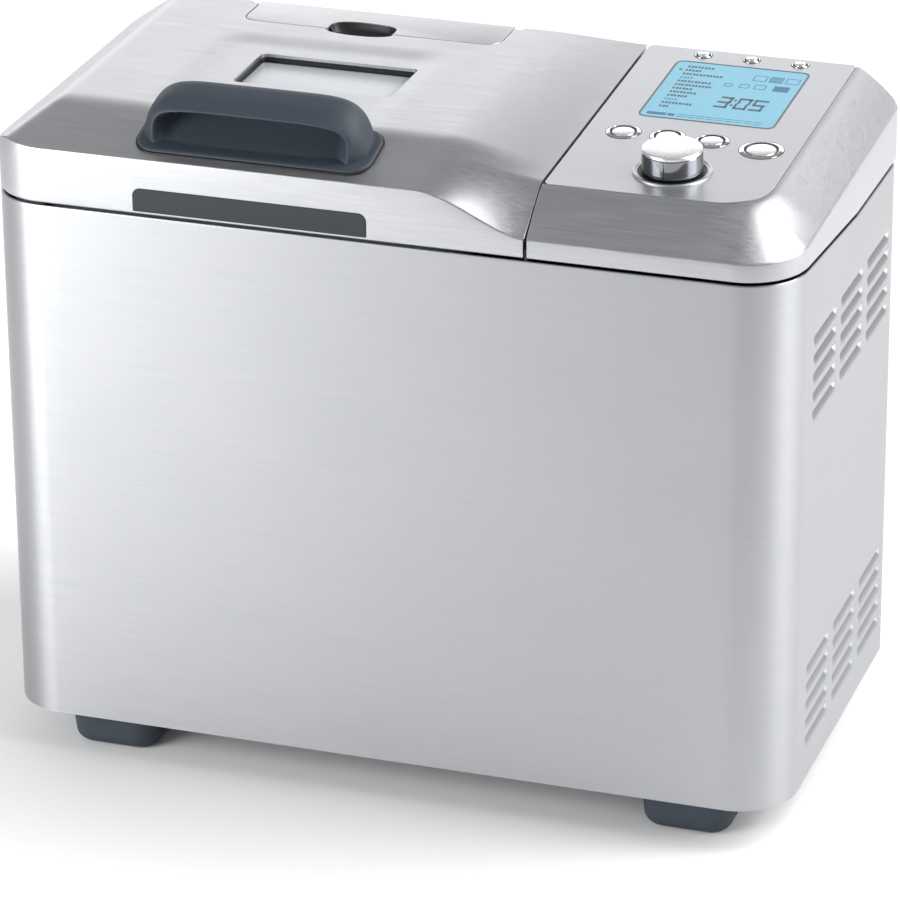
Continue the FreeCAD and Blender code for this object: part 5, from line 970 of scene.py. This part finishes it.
    def build_grip(self, across: Span, depths: Span, rise: float, slope: float, top: float) -> None:
        """The hood: an arched dome over a rounded footprint whose front face is pushed in to a finger hollow.

        Across the machine the dome's height follows a rounded arch; from front to rear its section is a
        superellipse. The hollow is an eased push to the rear inside a rounded arch on the front face, with a
        raised bead round it.

        Args:
            across: lowest and highest x.
            depths: front and rear of the footprint behind the machine's front face.
            rise: height of the slope at the front face.
            slope: rise of the lid's slope for each millimetre to the rear.
            top: highest point.
        """
        f = self.frame
        (left, right), (near, far) = across, depths
        middle, half = (left + right) / 2, (right - left) / 2
        stations = np.sin(np.linspace(-math.pi / 2, math.pi / 2, 181))
        share = np.abs(stations)[:, None]
        x = middle + half * stations[:, None]
        arch = np.maximum(1 - share ** 7.5, 0.0) ** 0.56
        foot = np.maximum(1 - share ** 9, 0.0) ** 0.5
        swept = np.maximum(1 - share ** 6, 0.0) ** 0.75
        turn = np.concatenate([np.linspace(0, 0.34, 44), np.linspace(0.34, 1.0, 54)[1:]])[None, :] * math.pi
        cosine, sine = np.cos(turn), np.sin(turn)
        y_middle = (near + far) / 2
        ahead = (y_middle - near) * (0.12 + 0.88 * swept)
        behind = (far - y_middle) * (0.45 + 0.55 * foot)
        front = cosine > 0
        depth = y_middle - np.where(front, ahead, behind) * np.sign(cosine) * np.abs(cosine) ** 0.62
        height = (top - rise - slope * y_middle) * arch * sine ** 0.74
        depth = depth + 0.04 * height
        lip, hollow = 19.6, 19.5
        inside = (np.abs(x - middle) / (half - 7.0)) ** 5 + (height / lip) ** 5
        push = np.where(front, ease((1.0 - inside) / 0.62), 0.0) * hollow
        bead = np.where(front, 1.1 * np.exp(-(((inside - 1.12) / 0.33) ** 2)), 0.0)
        push = push - bead * np.minimum(height / 4.0, 1.0)
        push = push * (1 - 0.75 * np.maximum(1 - height / 13.0, 0.0) ** 1.6)
        lifted = slope * push * np.maximum(1 - height / lip, 0.0)
        z = rise + slope * depth + height + lifted + 1.2
        points = np.stack([np.broadcast_to(x, depth.shape), f.front + depth + push, z], axis=-1)
        rows, columns = points.shape[:2]
        faces = grid_faces(rows, columns)[:, ::-1].tolist()
        base = np.arange(rows) * columns
        faces.append(list(base) + list(base[::-1] + columns - 1))
        hood = points.reshape(-1, 3), faces
        grip = make_object("lid_handle_grip", hood, SLATE_NYLON, Body.LID, 60.0)
        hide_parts("lid_handle")

    def build_inlay(self) -> None:
        """The dark strip laid on the lid's front band: a thin black edge with a slightly domed face in it."""
        low, high = box_mm("lid_front_inlay")
        foot, small, large = low[2] + 1.3, 0.6, 4.2
        edge_rows = ((0.0, high[1]), (0.0, low[1] - 0.10), (0.25, low[1] - 0.12))
        face_rows = ((0.55, high[1] - 0.2), (0.55, low[1] - 0.13), (0.75, low[1] - 0.2), (1.2, low[1] - 0.24))
        for name, finish, rows in (("lid_inlay_edge", BLACK_NYLON, edge_rows),
                                   ("lid_inlay_face", SLATE_INLAY, face_rows)):
            points = []
            for inset, depth in rows:
                loop = rounded_loop((low[0] + inset, high[0] - inset), (foot + inset, high[2] - inset),
                                    (small, small, large - inset, large - inset))
                points.append(np.column_stack([loop[:, 0], np.full(len(loop), depth), loop[:, 1]]))
            strip = np.concatenate(points), capped_tube(len(rows), len(points[0]))
            make_object(name, strip, finish, Body.LID, 30.0)
        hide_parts("lid_front_inlay")


# ------------------------------------------------------------------ control housing


@dataclass
class Controls:
    """The fixed control housing with its display, keys and dial."""

    frame: Frame
    fascia_corner: float = 25.0
    front_keys: tuple[tuple[str, float], ...] = (("timer", 94.4), ("modify", 116.9), ("cancel", 139.4))
    rear_keys: tuple[tuple[str, float], ...] = (("crust", 105.5), ("loaf_size", 130.8), ("lamp", 156.1))
    dial_spot: Span = (131.0, 30.0)
    display_along: float = 92.0

    def height(self, x: Array, y: Array) -> Array:
        """Top of the housing: the fascia plane, with slightly bulged slopes falling from its edge to the outline.

        Args:
            x: places across.
            y: places from front to rear.

        Returns:
            Heights.
        """
        f = self.frame
        out = -rounded_distance(x, y, f.side, f.front, f.corner)
        beyond = rounded_distance(x, y, f.fascia_high[0], f.front + f.fascia_start, self.fascia_corner)
        share = out / np.maximum(np.maximum(out + beyond, 0.5 * out), 1e-6)
        low = f.seam_front + f.rim_rise + math.tan(f.tilt) * (y - f.front)
        plane = f.fascia_plane(y)
        bulge = 1 - np.maximum(1 - share, 0.0) ** 1.3
        return smooth_least(low + (plane - low) * bulge, plane, 1.2)

    def build(self) -> None:
        """Builds every piece of the control housing."""
        self.build_shell()
        self.build_keys()
        self.build_dial()
        self.build_display()

    def build_shell(self) -> None:
        """The clad shell with a flush recess for the fascia plate, on a black skirt."""
        f = self.frame
        x, y = (f.control_low[0], f.side), (f.front, f.control_high[1])
        solid = capped_shell(x, y, (0.0, f.corner, f.rear_corner, 0.4), f.edge, self.height, f.lower_rim, 1.2)
        shell = make_object("control_housing_cladding", solid, BRUSHED_TOP, Body.HOUSING, f.crisp,
                            flat_uv(solid[0]))
        length = (f.control_high[1] - f.front - f.fascia_start) / math.cos(f.tilt)
        spare = 0.12
        loop = rounded_loop((f.control_low[0] - 2.0, f.fascia_high[0] + spare), (-spare, length + 2.0),
                            (3.0, 25.1, 3.0, 3.0), steps=14)
        subtract(shell, [self.place(stack([loop, loop], (-1.3, 6.0)), 0.0, 0.0)], f.crisp)
        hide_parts("control_housing")
        skirt = rounded_loop((f.control_low[0] + 0.2, f.side - 2.0), (f.front + 2.0, f.wrap_back - 2.0),
                             (0.3, 28.0, 4.0, 0.3), steps=12)
        skirt_solid = stack([skirt, skirt], (box_mm("top_deck")[1][2], f.seam_rear + 4.0))
        make_object("control_housing_skirt", skirt_solid, BLACK_NYLON, Body.HOUSING, 30.0)
        self.build_gap_painted_shade()

    def build_gap_painted_shade(self) -> None:
        """The black strip that stands in the joint between lid and controls, its top below both surfaces: painted
        shade, a dark sheet that darkens the joint where only shade falls.
        """
        f = self.frame
        y = np.linspace(f.front + 1.4, f.control_high[1] - 1.4, 160)
        upper = self.height(np.full_like(y, f.control_low[0] + 1.0), y) - 6.0
        lower = np.full_like(y, f.seam_rear - 2.0)
        left, right = np.full_like(y, f.lid_high[0] + 0.15), np.full_like(y, f.control_low[0] - 0.1)
        walls = ((left, lower), (left, upper), (right, upper), (right, lower))
        points = np.concatenate([np.column_stack([x, y, z]) for x, z in walls])
        count = len(y)
        step = np.arange(count - 1)
        floor = np.stack([3 * count + step, 3 * count + step + 1, step + 1, step], axis=1)[:, ::-1]
        faces = grid_faces(4, count)[:, ::-1].tolist() + floor.tolist()
        ends = [0, count, 2 * count, 3 * count]
        faces += [ends[::-1], [end + count - 1 for end in ends]]
        # Painted shade: this black strip darkens the joint between lid and controls.
        make_object("lid_joint_painted_shade_strip", (points, faces), BLACK_RUBBER, Body.HOUSING, 30.0)

    def place(self, solid: Solid, x: float, along: float) -> Solid:
        """Stands an upright solid on the fascia."""
        return self.frame.on_fascia(solid[0], x, along), solid[1]

    def build_keys(self) -> None:
        """Seven keys, each with a chromed ring: turned profiles with a slightly hollow face."""
        spots = [(name, x, 70.0, 5.6, 8.5) for name, x in self.front_keys]
        spots += [("start", 165.6, 65.5, 7.4, 10.8)]
        spots += [(name, x, 174.5, 2.9, 4.3) for name, x in self.rear_keys]
        rings, wells_and_painted_shadows = Batch(), Batch()
        for name, x, along, cap, ring in spots:
            proud = 0.35 if cap > 4 else 0.9
            face = [(cap, -6.0), (cap, proud - 0.4), (cap * 0.985, proud - 0.15), (cap * 0.95, proud),
                    (cap * 0.9, proud + 0.06), (cap * 0.6, proud + 0.22), (cap * 0.25, proud + 0.3)]
            key = make_object(name + "_key_cap", self.place(lathe(face, 64), x, along), SATIN_CAP,
                              Body(name + "_key"), 40.0)
            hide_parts(name + "_button")
            hole = cap + 0.25
            dark = hole + min(1.0, (ring - hole) * 0.5)
            wide = ring - dark
            well = [(hole, -3.0), (dark, -3.0), (dark, 0.1), (dark - 0.15, 0.16), (hole + 0.1, 0.16), (hole, 0.1),
                    (hole, -3.0)]
            # Painted shadow: a thin black annulus just outside each chromed ring stands in for the shadow line round
            # the ring.
            line = [(ring + 0.02, -0.6), (ring + 0.42, -0.6), (ring + 0.42, 0.04), (ring + 0.02, 0.1),
                    (ring + 0.02, -0.6)]
            bright = [(dark, -0.6), (ring, -0.6), (ring, 0.12), (ring - wide * 0.12, 0.26),
                      (dark + wide * 0.35, 0.34), (dark + wide * 0.14, 0.52), (dark, 0.40), (dark, -0.6)]
            for batch, profile in ((wells_and_painted_shadows, well), (wells_and_painted_shadows, line), (rings, bright)):
                batch.add(self.place(lathe(profile, 64), x, along))
        made = make_object("key_rings", rings.solid(), CHROME, Body.HOUSING, 35.0)
        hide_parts("button_rings")
        # Black wells between caps and rings, with the painted shadow lines outside the rings.
        make_object("key_wells", wells_and_painted_shadows.solid(), BLACK_NYLON, Body.HOUSING, 35.0)

    def turned_part(self, name: str, profile: Sequence[tuple[float, float]], finish: Finish, body: Body,
                    angle: float = 30.0) -> bpy.types.Object:
        """Turns a profile and stands it at the dial's place.

        Args:
            name: the piece's name.
            profile: (radius, height) points.
            finish: the surface finish.
            body: the body it rides on.
            angle: edges sharper than this stay crisp, in degrees.

        Returns:
            The new object.
        """
        return make_object(name, self.place(lathe(profile, 96), *self.dial_spot), finish, body, angle)

    def build_dial(self) -> None:
        """The selector dial: a smoked drum with a bevelled satin cap and a pointer line, on a stepped ring."""
        ring = self.turned_part("dial_base_ring", [(17.0, -0.4), (19.6, -0.4), (19.6, 0.3), (19.3, 0.8), (18.8, 1.0),
                                                   (18.2, 0.8), (17.8, 0.5), (17.0, 0.45), (17.0, -0.4)],
                                FASCIA_METAL, Body.HOUSING)
        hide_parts("dial_ring")
        self.turned_part("dial_well", [(3.4, -0.2), (17.0, -0.2), (17.0, 0.44), (16.4, 0.25), (3.4, 0.25),
                                       (3.4, -0.2)], BLACK_NYLON, Body.HOUSING)
        drum = self.turned_part("dial_drum", [(3.0, -10.0), (3.0, 0.9), (14.4, 0.9), (15.0, 1.5), (15.0, 10.2),
                                              (14.95, 10.6), (14.7, 10.9)], SMOKED_CHROME, Body.DIAL)
        groove = block((-0.35, 0.35), (-15.6, -14.3), (2.0, 13.0))
        subtract(drum, [self.place(groove, *self.dial_spot)], 30.0)
        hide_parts("dial_knob")
        self.turned_part("dial_cap", [(14.55, 10.85), (14.75, 11.1), (14.75, 12.0), (14.5, 12.5), (14.0, 12.8),
                                      (13.2, 12.93), (7.0, 13.07), (1.0, 13.1)], SATIN_CAP, Body.DIAL, 20.0)

    def build_display(self) -> None:
        """The display: rows of plain dashes, empty and filled squares, a bar and a clock, in a thin bezel."""
        marks = {SEGMENT_DARK: Batch(), SEGMENT_BLUE: Batch(), SEGMENT_PALE: Batch()}

        def bar(finish: Finish, x: float, y: float, w: float, h: float) -> None:
            """Adds a thin plate with its lower left corner at x, y on the display."""
            marks[finish].add(stack([rounded_loop((x, x + w), (y, y + h), [0.12] * 4, steps=3)] * 2, (0.0, 0.05)))

        self.mark_rows(bar)
        self.mark_clock(bar)
        left = box_mm("lcd_window")[0][0]
        for number, (finish, batch) in enumerate(marks.items()):
            plates = self.place(batch.solid(), left, self.display_along)
            make_object(f"display_marks_{number + 1}", plates, finish, Body.HOUSING, 30.0)
        insets = (0.0, 0.1, 1.0, 1.1, 1.1)
        loops = [rounded_loop((-0.5, 69.5), (-0.5, 73.5), [4.5] * 4, inset) for inset in insets]
        rim = self.place(hollow_ring(loops, (-0.4, 0.12, 0.12, 0.02, -0.4)), left, self.display_along)
        make_object("display_bezel", rim, DISPLAY_EDGE, Body.HOUSING, 30.0)

    def mark_rows(self, bar: Callable[[Finish, float, float, float, float], None]) -> None:
        """The dashes, squares and lower bar of the display.

        Args:
            bar: adds a plate of a finish at x and y, with its width and height.
        """
        pitch, row_pitch, pale_rows = 1.75, 4.75, (3, 9)
        widths = (14.0, 9.5, 21.0, 8.5, 19.0, 20.0, 10.5, 15.5, 11.5, 8.5, 17.0, 6.0)
        for row, width in enumerate(widths):
            finish = SEGMENT_PALE if row in pale_rows else SEGMENT_DARK
            for cell in range(int(width / pitch)):
                bar(finish, 7.0 + cell * pitch, 65.5 - row * row_pitch, 1.1 + 0.2 * (cell % 2), 2.3)
        bar(SEGMENT_DARK, 3.5, 61.2, 1.8, 1.6)
        line = 0.45
        for column in range(3):
            for x, y, side in ((31.0 + column * 7.6, 46.5, 3.6 + column * 0.9), (43.0 + column * 8.4, 57.0, 6.4)):
                bar(SEGMENT_BLUE, x, y, side, line)
                bar(SEGMENT_BLUE, x, y + side, side + line, line)
                bar(SEGMENT_BLUE, x, y, line, side)
                bar(SEGMENT_BLUE, x + side, y, line, side)
        bar(SEGMENT_PALE, 51.9, 57.6, 5.6, 5.6)
        bar(SEGMENT_BLUE, 56.0, 46.2, 8.0, 6.6)
        bar(SEGMENT_BLUE, 3.5, 3.2, 9.8, 3.0)
        bar(SEGMENT_BLUE, 3.5 + 10.6, 3.2, 3.4, 3.0)
        for cell in range(2, 11):
            for y in (3.4, 5.8):
                bar(SEGMENT_BLUE, 9.0 + cell * 4.9, y, 4.3, 0.4)

    def mark_clock(self, bar: Callable[[Finish, float, float, float, float], None]) -> None:
        """The clock in seven-segment numbers, leaning a tenth of their height.

        Args:
            bar: adds a plate of a finish at x and y, with its width and height.
        """
        segments = {"3": "abgcd", "0": "abcdef", "5": "afgcd"}
        tall, wide, level, upright = 14.0, 6.6, 2.0, 1.25
        half = tall / 2
        spots = {"a": (0, tall - level, wide, level), "g": (0, (tall - level) / 2, wide, level),
                 "d": (0, 0, wide, level), "f": (0, half, upright, half), "e": (0, 0, upright, half),
                 "b": (wide - upright, half, upright, half), "c": (wide - upright, 0, upright, half)}
        for start, digit in ((33.0, "3"), (42.8, "0"), (50.8, "5")):
            for name in segments[digit]:
                x, y, w, h = spots[name]
                bar(SEGMENT_DARK, start + x + 0.1 * y, 19.5 + y, w, h)
        bar(SEGMENT_DARK, 40.7, 22.8, 1.2, 2.0)
        bar(SEGMENT_DARK, 41.3, 29.0, 1.2, 2.0)


# ------------------------------------------------------------------ carried-over CAD nodes

NODE_FINISHES: dict[Finish, tuple[str, ...]] = {
    ZINC_STEEL: ("base_tray", "top_deck", "heat_shield", "motor", "motor_bracket", "convection_motor",
                 "cover_screws", "hinge_brackets", "dispenser_solenoid"),
    GREY_ENAMEL: ("oven_cavity", "lid_liner"),
    DRAWN_STEEL: ("heating_element", "temperature_probe", "drive_shaft", "motor_shaft", "pan_shaft",
                  "paddle_pin", "pan_bail", "hinge_pins"),
    CAST_ALUMINIUM: ("pan_mount", "shaft_bearing", "drive_coupler", "convection_fan", "pan_bush"),
    NON_STICK: ("bread_pan", "paddle_hub", "paddle_blade"),
    GREY_PLASTIC: ("rear_cover", "dispenser_bin", "dispenser_trapdoor"),
    BLACK_NYLON: ("power_inlet", "large_pulley", "motor_pulley", "lcd_module"),
    BLACK_RUBBER: ("drive_belt", "lid_seal"),
    LAMINATE: ("control_board", "power_board"),
    BRASS: ("inlet_pins",),
    FASCIA_METAL: ("control_fascia",),
    DISPLAY_BLUE: ("lcd_window",),
}


def dress_nodes(frame: dict[str, Any]) -> None:
    """Gives each carried-over CAD node its finish.
    """
    for finish, names in NODE_FINISHES.items():
        for name in names:
            node = frame["nodes"][name]
            if not node.material_slots:
                node.data.materials.append(None)
            for number in range(len(node.material_slots)):
                node.material_slots[number].link = "OBJECT"
                node.material_slots[number].material = finish.material()
            LOG.info("%s: %s", name, finish.name)


# ------------------------------------------------------------------ studio


@dataclass
class Studio:
    """Pale floor, soft lights and the camera."""

    camera_place: tuple[float, float, float] = (0.7595, -2.2649, 1.1995)
    yaw: float = math.radians(18.67)
    pitch: float = math.radians(23.94)
    roll: float = math.radians(-0.48)
    lens: float = 201.4
    sensor: float = 36.0
    floor_half: float = 12.0
    room_strength: float = 0.34

    def build(self) -> None:
        """Builds the whole studio."""
        self.build_floor()
        self.build_lights()
        self.build_camera()

    def build_floor(self) -> None:
        """A wide plain floor of matt white studio paper."""
        mesh = bpy.data.meshes.new("studio_floor")
        half = self.floor_half
        mesh.from_pydata([(-half, -half, 0), (half, -half, 0), (half, half, 0), (-half, half, 0)], [], [(0, 1, 2, 3)])
        made = bpy.data.materials.new("studio_paper")
        made.use_nodes = True
        shader = made.node_tree.nodes["Principled BSDF"]
        shader.inputs["Base Color"].default_value = linear("f4f4f4")
        shader.inputs["Roughness"].default_value = 0.9
        mesh.materials.append(made)
        floor = bpy.data.objects.new("studio_floor", mesh)
        bpy.context.scene.collection.objects.link(floor)

    def add_light(self, name: str, place: Sequence[float], target: Sequence[float], size: Span, power: float) -> None:
        """Adds a rectangular soft light that faces its target.

        Args:
            name: the light's name.
            place: where it stands, in metres.
            target: the point it faces, in metres.
            size: width and height in metres.
            power: watts.
        """
        lamp = bpy.data.lights.new(name, "AREA")
        lamp.shape = "RECTANGLE"
        lamp.size, lamp.size_y = size
        lamp.energy = power
        made = bpy.data.objects.new(name, lamp)
        made.location = place
        made.rotation_euler = (Vector(target) - Vector(place)).to_track_quat("-Z", "Y").to_euler()
        bpy.context.scene.collection.objects.link(made)

    def build_lights(self) -> None:
        """A pale room, a bright rear wall, and soft boxes from the left, the right and above."""
        world = bpy.data.worlds.new("studio_room")
        world.use_nodes = True
        room = world.node_tree.nodes["Background"]
        room.inputs["Color"].default_value = linear("ffffff")
        room.inputs["Strength"].default_value = self.room_strength
        bpy.context.scene.world = world
        bpy.context.scene.view_settings.view_transform = "Standard"
        self.add_light("rear_wall", (-0.9, 2.3, 1.0), (-0.1, 0, 0.35), (3.8, 1.35), 30.5)
        self.add_light("left_box", (-0.95, -1.15, 0.55), (-0.15, -0.1, 0.2), (0.8, 0.9), 19.5)
        self.add_light("right_box", (2.1, 0.1, 1.2), (0.1, 0, 0.1), (1.4, 1.4), 37.0)
        self.add_light("top_box", (1.5, 0.8, 2.2), (0.1, 0.1, 0.1), (1.6, 1.6), 52.0)

    def build_camera(self) -> None:
        """The camera: turned left by the yaw, down by the pitch, then rolled."""
        data = bpy.data.cameras.new("studio_camera")
        data.lens = self.lens
        data.sensor_width = self.sensor
        data.sensor_fit = "VERTICAL"
        data.sensor_height = self.sensor
        data.clip_end = 100.0
        level = math.cos(self.pitch)
        forward = Vector((-math.sin(self.yaw) * level, math.cos(self.yaw) * level, -math.sin(self.pitch)))
        right = Vector((math.cos(self.yaw), math.sin(self.yaw), 0.0))
        up = right.cross(forward)
        c, s = math.cos(self.roll), math.sin(self.roll)
        right, up = right * c + up * s, up * c - right * s
        matrix = Matrix.Identity(4)
        for column, vector in enumerate((right, up, -forward, Vector(self.camera_place))):
            for row in range(3):
                matrix[row][column] = vector[row]
        made = bpy.data.objects.new("studio_camera", data)
        made.matrix_world = matrix
        bpy.context.scene.collection.objects.link(made)
        bpy.context.scene.camera = made


def main() -> None:
    """Builds the machine's looks in order."""
    logging.basicConfig(level=logging.INFO, format="%(name)s %(message)s")
    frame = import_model()
    places = Frame()
    wrap = SteelWrap(places)
    wrap.build_wrap()
    wrap.build_feet()
    Lid(places).build()
    Controls(places).build()
    dress_nodes(frame)
    Studio().build()


if __name__ == "__main__":
    main()
